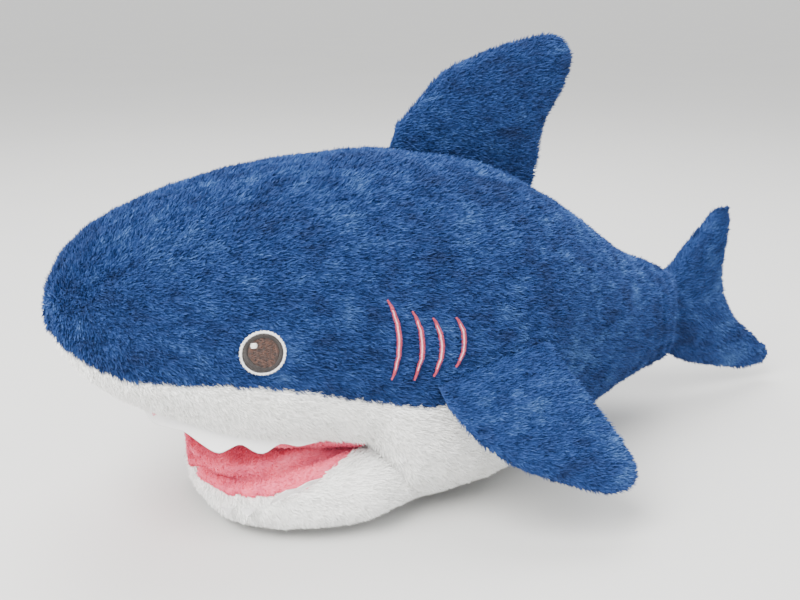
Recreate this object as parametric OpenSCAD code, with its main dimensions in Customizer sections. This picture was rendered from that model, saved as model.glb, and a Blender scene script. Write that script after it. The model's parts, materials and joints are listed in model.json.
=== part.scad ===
// Plush shark: a stuffed toy with an open padded mouth, soft fins and a tail that swings.
// The nose points to -Y, the tail to +Y, the shark's left side is +X, and it lies on Z = 0.
// The origin is on the floor under the middle of the whole length.
// Every fabric skin is a closed shell with its stuffing inside it. "place" is always the
// share of body_length behind the nose, and "turn" is the angle round a section in degrees:
// 0 at the left flank, 90 on the back, -90 under the belly.

/* [Body] */
// Length from the nose to the end of the tail stalk
body_length = 425; // [360:5:510]
// Height of the back above the floor at its highest point
body_height = 209; // [175:1:250]
// Width at the widest place
body_width = 176; // [146:1:211]
// Roundness of the cross-sections: 2 is an ellipse, more is boxier
section_power = 2.3; // [2:0.1:3]

/* [Fabric] */
// Thickness of the plush fabric of the body
fabric = 3; // [2:0.5:4]
// Gap between two panels along a seam
seam_gap = 0.3; // [0.2:0.05:0.5]
// Gap between a panel and the stuffing behind it
stuffing_gap = 2.4; // [2:0.2:4]
// Gap between two pieces that move against each other
joint_gap = 1.6; // [1.2:0.1:2]

/* [Mouth] */
// Height of the crease at the back of the mouth, which the jaw turns about
jaw_hinge_height = 40; // [33:1:48]
// Widest opening of the jaw from the resting mouth, in degrees
jaw_open = 22; // [10:1:25]
// Gap between the palate and the tongue side of the jaw, which the teeth hang in
mouth_gap = 2.2; // [2:0.1:4]
// Length of the longest felt tooth
tooth_length = 9; // [6:1:12]
// Distance from one tooth to the next
tooth_pitch = 19; // [14:1:24]
// Thickness of the felt teeth
felt = 1.2; // [0.8:0.1:1.5]

/* [Eyes and gills] */
// Distance of the eyes behind the nose
eye_setback = 90; // [75:1:108]
// Diameter of the white ring round the eye
eye_d = 23; // [19:1:27]
// Width of the white ring
eye_white = 1.4; // [1:0.1:2]
// Width of the black rim inside the white ring
eye_rim = 1.6; // [1:0.1:2.5]
// Diameter of the white glint
glint_d = 3.4; // [2.5:0.1:4.5]
// Widest part of a gill's satin stitches
gill_width = 3; // [2:0.5:4]
// Height that the satin stitches stand above the fabric
gill_rise = 1.4; // [1:0.2:2]

/* [Dorsal fin] */
// Length of the fin along the back
dorsal_length = 112; // [94:1:134]
// Height of the fin above its root
dorsal_height = 90; // [75:1:108]
// Thickness of the fin where it is fullest
dorsal_thickness = 21; // [17:1:25]
// Thickness of the rolled seam that joins the fin to the back
dorsal_root_d = 14; // [10:1:17]
// Lean of the fin to either side, in degrees
dorsal_lean = 18; // [8:1:20]

/* [Pectoral fins] */
// Length of the fin along the flank
pectoral_length = 83; // [69:1:96]
// Reach of the fin away from the flank
pectoral_reach = 93; // [77:1:112]
// Thickness of the fin where it is fullest
pectoral_thickness = 16; // [13:1:19]
// Thickness of the rolled seam that joins the fin to the flank
pectoral_root_d = 11; // [9:1:13]
// How far the fin hangs below level, in degrees
pectoral_droop = 48; // [40:1:56]
// Flap of the fin up and down, in degrees
pectoral_flap = 16; // [8:1:20]

/* [Tail] */
// Swing of the tail stalk to either side, in degrees
tail_swing = 18; // [8:1:20]
// Height of the tail fin from tip to tip
tail_fin_height = 136; // [114:1:163]
// Reach of the tail fin behind its own joint
tail_fin_reach = 118; // [98:1:142]
// Thickness of the tail fin at its root
tail_fin_thickness = 22; // [18:1:24]
// Swing of the tail fin to either side, in degrees
tail_fin_swing = 22; // [8:1:25]

/* [Hidden] */

BLUE = "#2f609c";
WHITE = "#f1f0ea";
PINK = "#dd7f9c";
FILLING = "#f7f5ee";

// Rows of the body and upper jaw: place, then palate or belly, widest level and top as shares
// of body_height, half width as a share of half of body_width, and the roundness below the
// widest level. Behind the mouth the palate's row carries on as chest_form.
trunk_form = [
    [0.000, 0.59, 0.63, 0.67, 0.07, 2.2],
    [0.025, 0.50, 0.62, 0.77, 0.41, 2.2],
    [0.095, 0.38, 0.59, 0.87, 0.70, 2.2],
    [0.210, 0.25, 0.55, 0.94, 0.91, 2.3],
    [0.350, 0.19, 0.53, 0.98, 1.00, 2.5],
    [0.420, 0.19, 0.51, 0.99, 1.00, 3.1],
    [0.495, 0.15, 0.50, 0.98, 1.00, 3.1],
    [0.625, 0.09, 0.47, 0.92, 0.91, 3.0],
    [0.740, 0.07, 0.42, 0.80, 0.73, 2.7],
    [0.870, 0.12, 0.36, 0.62, 0.51, 2.3],
    [1.000, 0.17, 0.34, 0.50, 0.30, 2.2]];
// Underside behind the mouth: place, share of body_height
chest_form = [[0.36, -0.01], [0.50, -0.015], [0.58, -0.005], [0.64, 0.025], [0.70, 0.06], [0.78, 0.11],
    [0.87, 0.16], [1.00, 0.205]];
// Rows of the lower jaw, with the same columns
jaw_form = [
    [0.170, 0.10, 0.14, 0.17, 0.09, 2.3],
    [0.190, 0.02, 0.13, 0.23, 0.46, 2.3],
    [0.247, -0.01, 0.13, 0.25, 0.73, 2.4],
    [0.353, -0.02, 0.15, 0.27, 0.91, 2.5],
    [0.420, -0.02, 0.17, 0.29, 0.96, 2.6]];
// Edge between the blue back and the white underside: place, share of body_height
white_edge = [
    [0.00, 0.58], [0.05, 0.53], [0.14, 0.512], [0.23, 0.49], [0.29, 0.45], [0.36, 0.41],
    [0.44, 0.37], [0.58, 0.36], [0.69, 0.32], [0.75, 0.21], [0.79, 0.09], [0.80, 0.00], [1.01, -0.1]];
// Lower edge of the white upper lip: place, share of body_height
lip_edge = [[0.10, 0.385], [0.13, 0.37], [0.16, 0.345], [0.21, 0.32], [0.28, 0.285], [0.37, 0.25]];
// Upper edge of the white lower lip: place, share of body_height
jaw_lip_edge = [[0.16, 0.12], [0.19, 0.135], [0.26, 0.17], [0.31, 0.19], [0.37, 0.21]];
// Rows of a fin: share of its span, front edge and rear edge as shares of its length,
// then half thickness as a share of half of its full thickness.
dorsal_form = [
    [0.00, 0.04, 1.02, 0.66], [0.12, 0.10, 1.00, 0.95], [0.21, 0.14, 0.99, 1.00],
    [0.38, 0.20, 0.99, 0.95], [0.60, 0.35, 1.03, 0.85], [0.76, 0.52, 1.04, 0.72],
    [0.92, 0.72, 1.02, 0.45], [1.00, 0.85, 0.93, 0.10]];
pectoral_form = [
    [0.00, 0.00, 1.00, 0.68], [0.15, 0.04, 1.02, 0.95], [0.35, 0.12, 1.05, 1.00],
    [0.65, 0.35, 1.09, 0.95], [0.85, 0.60, 1.09, 0.75], [0.95, 0.74, 1.04, 0.50],
    [1.00, 0.87, 0.96, 0.12]];
// The tail fin's span runs from its lower tip to its upper tip
tail_fin_form = [
    [0.00, 0.78, 0.95, 0.12], [0.05, 0.52, 1.00, 0.38], [0.12, 0.28, 0.98, 0.58],
    [0.24, 0.04, 0.82, 0.80], [0.35, -0.05, 0.66, 0.95], [0.46, -0.07, 0.58, 1.00],
    [0.57, -0.06, 0.53, 0.95], [0.65, 0.03, 0.52, 0.88], [0.79, 0.19, 0.53, 0.70],
    [0.93, 0.33, 0.54, 0.50], [1.00, 0.40, 0.52, 0.16]];
// Gills: place, then height of the middle and height from end to end as shares of body_height
gill_form = [[0.381, 0.579, 0.20], [0.414, 0.553, 0.177], [0.442, 0.54, 0.153], [0.475, 0.543, 0.13]];

inner = fabric + stuffing_gap;
seam_turn = 0.3;
jaw_hinge_place = 0.365;
tail_hinge_place = 0.82;
tail_fin_hinge_place = 0.99;
nose_y = -(tail_fin_hinge_place * body_length + tail_fin_reach) / 2;
tail_fin_floor = 12;
eye_turn = 4;
glint_shift = 0.19 * eye_d;

// ---- Smooth rows ----
function row_at(rows, s, i = 0) =
    i >= len(rows) - 2 || s < rows[i + 1][0] ? i : row_at(rows, s, i + 1);
function slope(rows, i, c) =
    let (a = max(i - 1, 0), b = min(i + 1, len(rows) - 1))
    (rows[b][c] - rows[a][c]) / (rows[b][0] - rows[a][0]);
// Value of column c at s, on a smooth curve through the rows
function value(rows, s, c) =
    let (i = row_at(rows, s), a = rows[i], b = rows[i + 1], h = b[0] - a[0], u = (s - a[0]) / h)
    a[c] * (2 * u ^ 3 - 3 * u ^ 2 + 1) + slope(rows, i, c) * h * (u ^ 3 - 2 * u ^ 2 + u)
    + b[c] * (3 * u ^ 2 - 2 * u ^ 3) + slope(rows, i + 1, c) * h * (u ^ 3 - u ^ 2);
function level(rows, s, c) = value(rows, s, c) * body_height;
function unit(v) = v / norm(v);
function y_at(place) = nose_y + place * body_length;
function place_of(y) = (y - nose_y) / body_length;

// ---- Sections ----
// A section is [half width, bottom, widest level, top, roundness below]. Its inset moves every
// side in by that much, and moves the nose back.
jaw_y = y_at(jaw_hinge_place);
notch_turn = jaw_open + 4;
// The chest starts in a slanted wall behind the jaw, which leaves the jaw room to open
function notch_start(inset) = place_of(jaw_y + joint_gap / 2 + inset / cos(notch_turn));
function wall_height(s, inset) =
    jaw_hinge_height - (s - notch_start(inset)) * body_length / tan(notch_turn);
function underside(s, inset) =
    s <= notch_start(inset) ? level(trunk_form, s, 1)
    : max(level(chest_form, s, 1), min(level(trunk_form, s, 1), wall_height(s, inset)));
function shifted(s, start, inset) = s - inset / body_length * max(0, 1 - (s - start) / 0.25);
function trunk_section(s, inset) =
    let (q = shifted(s, 0, inset))
    [value(trunk_form, q, 4) * body_width / 2 - inset,
     underside(s <= notch_start(inset) ? q : s, inset) + inset,
     level(trunk_form, q, 2), level(trunk_form, q, 3) - inset, value(trunk_form, q, 5)];
function jaw_section(s, inset) =
    let (q = shifted(s, jaw_form[0][0], inset))
    [value(jaw_form, q, 4) * body_width / 2 - inset, level(jaw_form, q, 1) + inset,
     level(jaw_form, q, 2), level(jaw_form, q, 3) - inset, value(jaw_form, q, 5)];
function spow(v, power) = sign(v) * pow(abs(v), 2 / power);
function section_x(sec, turn) = sec[0] * spow(cos(turn), sin(turn) > 0 ? section_power : sec[4]);
function section_z(sec, turn) =
    sec[2] + (sin(turn) > 0 ? (sec[3] - sec[2]) * spow(sin(turn), section_power)
        : (sec[2] - sec[1]) * spow(sin(turn), sec[4]));
// Turn at which a section is at height z
function turn_at(sec, z) =
    let (up = z > sec[2], edge = up ? sec[3] : sec[1], power = up ? section_power : sec[4])
    sign(z - sec[2]) * asin(pow(min(abs((z - sec[2]) / (edge - sec[2])), 1), power / 2));
// Height of the palate over a point of the mouth
function palate_height(x, s) =
    let (sec = trunk_section(s, 0), a = min(abs(x) / sec[0], 1))
    sec[2] - (sec[2] - sec[1]) * pow(1 - pow(a, sec[4]), 1 / sec[4]);

// ---- Upright swing joints ----
tail_y = y_at(tail_hinge_place);
tail_r = value(trunk_form, tail_hinge_place, 4) * body_width / 2;
tail_fin_y = y_at(tail_fin_hinge_place);
tail_fin_r = 0.5 * value(trunk_form, 1, 4) * body_width / 2;
// Socket of a swing joint at y: round about the joint, then cut back to leave room to swing
function socket_y(x, y, r, swing) =
    let (a = abs(x), g = r + joint_gap, back = swing + 4)
    a < g * cos(back) ? y - sqrt(g * g - a * a) : y - a * tan(back);
function knuckle_y(x, y, r) = abs(x) < r ? y - sqrt(r * r - x * x) : y;
// Place at which the skin meets a joint's surface at a turn, by stepping towards it
function socket_place(s, turn, inset, y, r, swing, steps = 16) =
    steps == 0 ? s
    : let (x = section_x(trunk_section(s, inset), turn))
      socket_place((s + place_of(socket_y(x, y, r, swing))) / 2, turn, inset, y, r, swing, steps - 1);
function knuckle_place(s, turn, inset, y, r, steps = 16) =
    steps == 0 ? s
    : let (x = section_x(trunk_section(s, inset), turn))
      knuckle_place((s + place_of(knuckle_y(x, y, r))) / 2, turn, inset, y, r, steps - 1);

// ---- Skins ----
free_place = 0.6;
function trunk_place(s, turn, inset) =
    s <= free_place ? s
    : let (e = socket_place(tail_hinge_place - 0.05, turn, inset, tail_y, tail_r, tail_swing))
      free_place + (s - free_place) * (e - free_place) / (tail_hinge_place - free_place);
function trunk_point(s, turn, inset = 0) =
    let (q = trunk_place(s, turn, inset), sec = trunk_section(q, inset), x = section_x(sec, turn))
    [x, s >= tail_hinge_place ? socket_y(x, tail_y, tail_r, tail_swing) : y_at(q),
     max(section_z(sec, turn), inset)];
function jaw_point(s, turn, inset = 0) =
    let (sec = jaw_section(s, inset), x = section_x(sec, turn), z = section_z(sec, turn))
    [x, y_at(s), max(min(z, palate_height(x, s) - mouth_gap - inset), inset)];
// Stalk: share runs from the knuckle in the trunk's socket to the socket of the tail fin
function stalk_point(share, turn, inset = 0) =
    let (a = knuckle_place(tail_hinge_place - 0.05, turn, inset, tail_y, tail_r - inset),
         b = socket_place(tail_fin_hinge_place - 0.02, turn, inset, tail_fin_y, tail_fin_r, tail_fin_swing),
         s = a + (b - a) * share, sec = trunk_section(s, inset), x = section_x(sec, turn))
    [x, share == 0 ? knuckle_y(x, tail_y, tail_r - inset)
        : share == 1 ? socket_y(x, tail_fin_y, tail_fin_r, tail_fin_swing) : y_at(s),
     section_z(sec, turn)];
// Point of the free skin ahead of the tail, moved out by rise
function skin(s, turn, rise = 0) =
    let (n = unit(cross(trunk_point(s + 0.004, turn) - trunk_point(s - 0.004, turn),
                        trunk_point(s, turn + 1) - trunk_point(s, turn - 1))))
    trunk_point(s, turn) + rise * n;
function jaw_skin(s, turn, rise = 0) =
    let (n = unit(cross(jaw_point(s + 0.004, turn) - jaw_point(s - 0.004, turn),
                        jaw_point(s, turn + 1) - jaw_point(s, turn - 1))))
    jaw_point(s, turn) + rise * n;

// ---- Solids ----
function middle(ring) = [for (k = [0:2]) ([for (p = ring) 1] * [for (p = ring) p[k]]) / len(ring)];
function loft_sides(m, n) = [for (i = [0:m - 2], j = [0:n - 1]) let (k = (j + 1) % n, a = i * n)
    each [[a + j, a + n + j, a + n + k], [a + j, a + n + k, a + k]]];
// Closed solid through rings of points, all with the same number of points
module loft(rings) {
    n = len(rings[0]);
    m = len(rings);
    points = concat([for (r = rings) each r], [middle(rings[0]), middle(rings[m - 1])]);
    caps = [for (j = [0:n - 1]) let (k = (j + 1) % n, z = (m - 1) * n)
        each [[m * n, j, k], [m * n + 1, z + k, z + j]]];
    polyhedron(points, concat(loft_sides(m, n), caps), convexity = 8);
}
// Piece of fabric: a grid of outer points and the same grid of inner points
module panel(outer, inner_grid) {
    n = 2 * len(outer[0]);
    m = len(outer);
    rings = [for (i = [0:m - 1]) concat(inner_grid[i], [for (j = [len(outer[i]) - 1:-1:0]) outer[i][j]])];
    rims = [for (j = [0:n / 2 - 2]) let (k = j + 1, p = n - 1 - j, q = p - 1, z = (m - 1) * n)
        each [[j, k, q], [j, q, p], [z + k, z + j, z + p], [z + k, z + p, z + q]]];
    polyhedron([for (r = rings) each r], concat(loft_sides(m, n), rims), convexity = 8);
}
// Ring of fabric that closes on itself
module band(sections) {
    n = len(sections[0]);
    m = len(sections);
    polyhedron([for (r = sections) each r], [for (i = [0:m - 1], j = [0:n - 1])
        let (k = (j + 1) % n, a = i * n, b = ((i + 1) % m) * n)
        each [[a + j, b + j, b + k], [a + j, b + k, a + k]]], convexity = 4);
}
function clear_of_seam(p, side) = side == 0 ? p : [side * max(side * p[0], seam_gap / 2), p[1], p[2]];
module mirrored(side) {
    mirror([side > 0 ? 0 : 1, 0, 0]) children();
}

// ---- Trunk ----
AROUND = 28;
COLUMNS = 12;
// Places of the rings: nose and mouth, the slanted wall behind the jaw, then body and tail
mouth_places = [0.012, 0.035, 0.07, 0.104, 0.105, 0.15, 0.2, 0.25, 0.31, 0.3635];
mouth_rows = len(mouth_places);
belly_end = 0.76;
belly_end_gap = 2;
function wall_places(inset) =
    let (run = (jaw_hinge_height - level(chest_form, 0.4, 1)) * tan(notch_turn) / body_length)
    [for (k = [0:4]) notch_start(inset) + 0.0002 + run * k / 4];
rear_places = concat([for (i = [1:7]) 0.42 + 0.045 * i], [belly_end, 0.772, 0.795, tail_hinge_place]);
function trunk_places(inset) =
    concat([inset / body_length], mouth_places, wall_places(inset), rear_places);
trunk_rows = len(trunk_places(0));
wall_row = mouth_rows + 1;
belly_rows = wall_row + 5 + 8;
function edge_turn(edge, i) = let (s = trunk_places(0)[i])
    turn_at(trunk_section(trunk_place(s, 0, 0), 0), value(edge, s, 1) * body_height);
function white_turn(i) = i == 0 || i >= belly_rows ? -90 : edge_turn(white_edge, i);
function lip_turn(i) = i <= 4 ? -90 : edge_turn(lip_edge, i);
// Grid of the trunk's skin from row a to row b, between two turns given per row
function trunk_grid(a, b, from, to, inset, side, short) = let (places = trunk_places(inset))
    [for (i = [a:b]) [for (j = [0:COLUMNS])
        clear_of_seam(trunk_point(places[i] - (i == b ? short / body_length : 0),
            from[i] + (to[i] - from[i]) * j / COLUMNS, inset), side)]];
module trunk_panel(a, b, from, to, side = 0, short = 0) {
    panel(trunk_grid(a, b, from, to, 0, side, short), trunk_grid(a, b, from, to, fabric, side, short));
}
module back_panel(side) {
    low = [for (i = [0:trunk_rows - 1]) max(white_turn(i) + seam_turn, -90)];
    high = [for (i = [0:trunk_rows - 1]) 90];
    color(BLUE) mirrored(side) trunk_panel(0, trunk_rows - 1, low, high, 1);
}
module back_panel_left() {
    back_panel(1);
}
module back_panel_right() {
    back_panel(-1);
}
module muzzle(side) {
    low = [for (i = [0:mouth_rows]) max(lip_turn(i) + seam_turn, -90)];
    high = [for (i = [0:mouth_rows]) white_turn(i) - seam_turn];
    color(WHITE) mirrored(side) trunk_panel(1, mouth_rows, low, high, 1);
}
module muzzle_left() {
    muzzle(1);
}
module muzzle_right() {
    muzzle(-1);
}
module belly_panel() {
    high = [for (i = [0:belly_rows - 1]) white_turn(i) - seam_turn];
    low = [for (h = high) -180 - h];
    color(WHITE) trunk_panel(wall_row, belly_rows - 1, low, high, 0, belly_end_gap);
}
module palate_lining() {
    high = [for (i = [0:mouth_rows]) lip_turn(i) - seam_turn];
    low = [for (h = high) -180 - h];
    color(PINK) trunk_panel(5, mouth_rows, low, high);
}
function socket_cap(ring, y, r, swing, steps = 6) = let (c = middle(ring))
    [for (k = [1:steps - 1]) [for (p = ring) let (x = p[0] * (1 - k / steps))
        [x, socket_y(x, y, r, swing), c[2] + (p[2] - c[2]) * (1 - k / steps)]]];
function knuckle_cap(ring, y, r, steps = 6) = let (c = middle(ring))
    [for (k = [steps - 1:-1:1]) [for (p = ring) let (x = p[0] * (1 - k / steps))
        [x, knuckle_y(x, y, r), c[2] + (p[2] - c[2]) * (1 - k / steps)]]];
module trunk_stuffing() {
    rings = [for (s = trunk_places(inner)) [for (j = [0:AROUND - 1])
        trunk_point(s, -360 * j / AROUND, inner)]];
    color(FILLING) loft(concat(rings,
        socket_cap(rings[trunk_rows - 1], tail_y, tail_r, tail_swing)));
}

// ---- Eyes: embroidered rings that follow the flank ----
EYE_AROUND = 24;
eye_centre = trunk_point(eye_setback / body_length, eye_turn);
white_in = eye_d / 2 - eye_white;
rim_in = white_in - eye_rim;
// Point of the flank straight out from a spot beside the eye's centre
function flank(dy, dz, rise) =
    let (s = place_of(eye_centre[1] + dy), sec = trunk_section(s, 0))
    trunk_point(s, turn_at(sec, eye_centre[2] + dz)) + [rise, 0, 0];
function eye_ring(r, rise, dy = 0, dz = 0) = [for (j = [0:EYE_AROUND - 1]) let (t = 360 * j / EYE_AROUND)
    flank(dy + r * cos(t), dz + r * sin(t), rise)];
module eye_band(r_out, r_in, rise) {
    low_in = eye_ring(r_in, 0.2);
    low_out = eye_ring(r_out, 0.2);
    top_out = eye_ring(r_out, rise);
    top_in = eye_ring(r_in, rise);
    band([for (j = [0:EYE_AROUND - 1]) [top_in[j], top_out[j], low_out[j], low_in[j]]]);
}
module eye_disc(r, low, high, dy = 0, dz = 0) {
    loft(concat([for (q = [0.2, 1]) eye_ring(r * q, low, dy, dz)],
        [for (q = [1, 0.2]) eye_ring(r * q, high, dy, dz)]));
}
eye_rise = 1.6;
module eye_white_left() {
    color("white") eye_band(eye_d / 2, white_in + 0.05, eye_rise - 0.2);
}
module eye_white_right() {
    mirror([1, 0, 0]) eye_white_left();
}
module eye_rim_left() {
    color("#17120f") eye_band(white_in, rim_in + 0.05, eye_rise);
}
module eye_rim_right() {
    mirror([1, 0, 0]) eye_rim_left();
}
module eye_iris_left() {
    color("#6b4634") eye_disc(rim_in, 0.2, eye_rise);
}
module eye_iris_right() {
    mirror([1, 0, 0]) eye_iris_left();
}
module eye_glint_left() {
    color("white") eye_disc(glint_d / 2, eye_rise + 0.05, eye_rise + 0.5, -glint_shift, glint_shift);
}
module eye_glint_right() {
    mirror([1, 0, 0]) eye_glint_left();
}

// ---- Gills: four arcs of satin stitch, thickest in the middle ----
gill_bulge = 5;
module gill(place, mid, sweep) {
    function at(u, rise) = let (s = place - gill_bulge * u ^ 2 / body_length)
        skin(s, turn_at(trunk_section(s, 0), (mid + sweep / 2 * u) * body_height), rise);
    steps = 12;
    loft([for (i = [0:steps])
        let (u = -1 + 2 * i / steps, c = at(u, 0.2), n = unit(at(u, 1) - at(u, 0)),
             along = unit(at(min(u + 0.05, 1), 0) - at(max(u - 0.05, -1), 0)), across = cross(n, along),
             w = max(gill_width / 2 * sqrt(1 - u ^ 2), 0.3), h = max(gill_rise * sqrt(1 - u ^ 2), 0.3))
        [for (j = [0:5]) let (t = 180 * j / 5) c + across * (w * cos(t)) + n * (h * sin(t))]]);
}
module gill_stitches_left() {
    color("#b32c45") for (g = gill_form) gill(g[0], g[1], g[2]);
}
module gill_stitches_right() {
    mirror([1, 0, 0]) gill_stitches_left();
}

// ---- Teeth: felt strips with points ----
function tooth(s) = let (u = (s * body_length / tooth_pitch) % 1)
    tooth_length * (0.3 + 0.7 * (1 - abs(2 * u - 1)));
upper_teeth_from = 0.125;
upper_teeth_to = 0.31;
module upper_teeth_side() {
    steps = 26;
    loft([for (i = [0:steps])
        let (s = upper_teeth_from + (upper_teeth_to - upper_teeth_from) * i / steps,
             sec = trunk_section(s, 0), edge = turn_at(sec, value(lip_edge, s, 1) * body_height - 1),
             x = section_x(sec, edge) - tooth(s) * min(1, 0.3 + (steps - i) / 12),
             tip = -acos(pow(x / sec[0], sec[4] / 2)))
        [skin(s, tip, 0.2), skin(s, edge, 0.2), skin(s, edge, 0.2 + felt), skin(s, tip, 0.2 + felt)]]);
}
module upper_teeth() {
    color("white") for (side = [-1, 1]) mirrored(side) upper_teeth_side();
}
teeth_lift = 0.7;
lower_teeth_from = 0.2;
lower_teeth_to = 0.3;
module lower_teeth_side() {
    steps = 16;
    loft([for (i = [0:steps])
        let (s = lower_teeth_from + (lower_teeth_to - lower_teeth_from) * i / steps,
             sec = jaw_section(s, 0), z = value(jaw_lip_edge, s, 1) * body_height - 1,
             edge = turn_at(sec, z), tip = turn_at(sec, z - 0.8 * tooth(s)))
        [jaw_skin(s, tip, teeth_lift), jaw_skin(s, edge, teeth_lift), jaw_skin(s, edge, teeth_lift + felt),
         jaw_skin(s, tip, teeth_lift + felt)]]);
}
module lower_teeth() {
    color("white") for (side = [-1, 1]) mirrored(side) lower_teeth_side();
}

// ---- Jaw ----
jaw_rows = 10;
function jaw_place(i, inset) = let (a = jaw_form[0][0] + inset / body_length,
    b = place_of(jaw_y - joint_gap / 2)) a + (b - a) * (1 - cos(90 * i / jaw_rows));
function jaw_edge_turn(i) = let (s = jaw_place(i, 0))
    turn_at(jaw_section(s, 0), value(jaw_lip_edge, s, 1) * body_height);
function jaw_grid(from, to, inset) = [for (i = [0:jaw_rows]) [for (j = [0:COLUMNS * 2])
    jaw_point(jaw_place(i, inset), from[i] + (to[i] - from[i]) * j / (COLUMNS * 2), inset)]];
module jaw_panel() {
    high = [for (i = [0:jaw_rows]) jaw_edge_turn(i) - seam_turn];
    low = [for (h = high) -180 - h];
    color(WHITE) panel(jaw_grid(low, high, 0), jaw_grid(low, high, fabric));
}
module jaw_lining() {
    low = [for (i = [0:jaw_rows]) jaw_edge_turn(i) + seam_turn];
    high = [for (h = low) 180 - h];
    color(PINK) panel(jaw_grid(low, high, 0), jaw_grid(low, high, fabric));
}
module jaw_stuffing() {
    color(FILLING) loft([for (i = [0:jaw_rows]) [for (j = [0:AROUND - 1])
        jaw_point(jaw_place(i, inner), -360 * j / AROUND, inner)]]);
}

// ---- Fins ----
FIN_COLUMNS = 10;
FIN_ROWS = 14;
ROOT_ROWS = 4;
// Section of a fin at a share of its span: rows below zero are the rolled root seam
function fin_row(i) = i < ROOT_ROWS ? -cos(90 * i / ROOT_ROWS) : (1 - cos(180 * (i - ROOT_ROWS) / FIN_ROWS)) / 2;
function fin_point(rows, i, t, chord, span, thick, root_r, inset, seam) =
    let (s = fin_row(i), low = s < 0, q = low ? 0 : s * (1 - inset / span),
         a = value(rows, q, 1) * chord + inset, b = value(rows, q, 2) * chord - inset,
         r = max((b - a) / 2, 0.8),
         h = low ? (root_r - inset) * sqrt(max(1 - s * s, 0.01)) : max(value(rows, q, 3) * thick / 2 - inset, 0.5),
         w = h * sin(t))
    [(a + b) / 2 + r * cos(t), low ? s * (root_r - inset) : q * span,
     seam == 0 ? w : seam * max(seam * w, seam_gap / 2)];
// Fin in its own frame [along the root, along the span, through the thickness]; face 1 or -1
module fin_panel(rows, frame, chord, span, thick, root_r, cloth, face) {
    function grid(inset) = [for (i = [0:FIN_ROWS + ROOT_ROWS]) [for (j = [0:FIN_COLUMNS])
        let (p = fin_point(rows, i, face * 180 * j / FIN_COLUMNS, chord, span, thick, root_r, inset, face))
        frame[0] + frame[1] * p[0] + frame[2] * p[1] + frame[3] * p[2]]];
    if (face > 0) panel(grid(0), grid(cloth));
    else panel(grid(cloth), grid(0));
}
module fin_stuffing(rows, frame, chord, span, thick, root_r, inset) {
    loft([for (i = [0:FIN_ROWS + ROOT_ROWS]) [for (j = [0:FIN_COLUMNS * 2 - 1])
        let (p = fin_point(rows, i, -180 * j / FIN_COLUMNS, chord, span, thick, root_r, inset, 0))
        frame[0] + frame[1] * p[0] + frame[2] * p[1] + frame[3] * p[2]]]);
}

// ---- Dorsal fin: its root runs straight down the back just above the skin ----
dorsal_place = 0.465;
dorsal_end_place = dorsal_place + dorsal_length * 0.97 / body_length;
dorsal_root_r = dorsal_root_d / 2;
dorsal_lift = dorsal_root_r + joint_gap;
dorsal_back = [for (i = [0:8]) let (s = dorsal_place + (dorsal_end_place - dorsal_place) * i / 8)
    [y_at(s), level(trunk_form, s, 3)]];
dorsal_fall = (dorsal_back[0][1] - dorsal_back[8][1]) / (dorsal_back[8][0] - dorsal_back[0][0]);
// The straight root line clears the highest swell of the back between its ends
dorsal_swell = max([for (p = dorsal_back) p[1] - (dorsal_back[0][1] - dorsal_fall * (p[0] - dorsal_back[0][0]))]);
dorsal_u = unit([0, 1, -dorsal_fall]);
dorsal_v = [0, -dorsal_u[2], dorsal_u[1]];
dorsal_start = [0, dorsal_back[0][0], dorsal_back[0][1] + dorsal_swell] + dorsal_v * dorsal_lift;
dorsal_frame = [dorsal_start, dorsal_u, dorsal_v, [1, 0, 0]];
dorsal_span = dorsal_height - dorsal_lift;
module dorsal_panel_left() {
    color(BLUE) fin_panel(dorsal_form, dorsal_frame, dorsal_length, dorsal_span, dorsal_thickness,
        dorsal_root_r, fabric, 1);
}
module dorsal_panel_right() {
    color(BLUE) fin_panel(dorsal_form, dorsal_frame, dorsal_length, dorsal_span, dorsal_thickness,
        dorsal_root_r, fabric, -1);
}
module dorsal_stuffing() {
    color(FILLING) fin_stuffing(dorsal_form, dorsal_frame, dorsal_length, dorsal_span,
        dorsal_thickness, dorsal_root_r, inner);
}

// ---- Pectoral fins: each root runs straight along the flank just off the skin ----
pectoral_place = 0.435;
pectoral_end_place = pectoral_place + pectoral_length * 0.95 / body_length;
// Heights of the front and rear of each root, as shares of body_height
pectoral_heights = [0.385, 0.44];
function pectoral_root_point(k) =
    let (s = pectoral_place + (pectoral_end_place - pectoral_place) * k,
         z = pectoral_heights[0] + (pectoral_heights[1] - pectoral_heights[0]) * k)
    skin(s, turn_at(trunk_section(s, 0), z * body_height));
pectoral_root_r = pectoral_root_d / 2;
fin_cloth = fabric - 0.5;
pectoral_a = pectoral_root_point(0);
pectoral_b = pectoral_root_point(1);
pectoral_u = unit(pectoral_b - pectoral_a);
pectoral_swell = max([for (i = [0:8])
    let (d = pectoral_root_point(i / 8) - pectoral_a)
    (d - pectoral_u * (d * pectoral_u))[0]]);
pectoral_start = pectoral_a + [pectoral_swell + pectoral_root_r + joint_gap + 0.5, 0, 0];
pectoral_out = [cos(pectoral_droop), 0.12, -sin(pectoral_droop)];
pectoral_v = unit(pectoral_out - pectoral_u * (pectoral_out * pectoral_u));
pectoral_w = cross(pectoral_u, pectoral_v);
pectoral_frame = [pectoral_start, pectoral_u, pectoral_v, pectoral_w];
module pectoral_panel(side, face) {
    color(BLUE) mirrored(side) fin_panel(pectoral_form, pectoral_frame, pectoral_length,
        pectoral_reach - pectoral_root_d, pectoral_thickness, pectoral_root_r, fin_cloth, face);
}
module pectoral_stuffing(side) {
    color(FILLING) mirrored(side) fin_stuffing(pectoral_form, pectoral_frame, pectoral_length,
        pectoral_reach - pectoral_root_d, pectoral_thickness, pectoral_root_r, fin_cloth + seam_gap);
}
module pectoral_top_left() {
    pectoral_panel(1, -1);
}
module pectoral_under_left() {
    pectoral_panel(1, 1);
}
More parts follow.
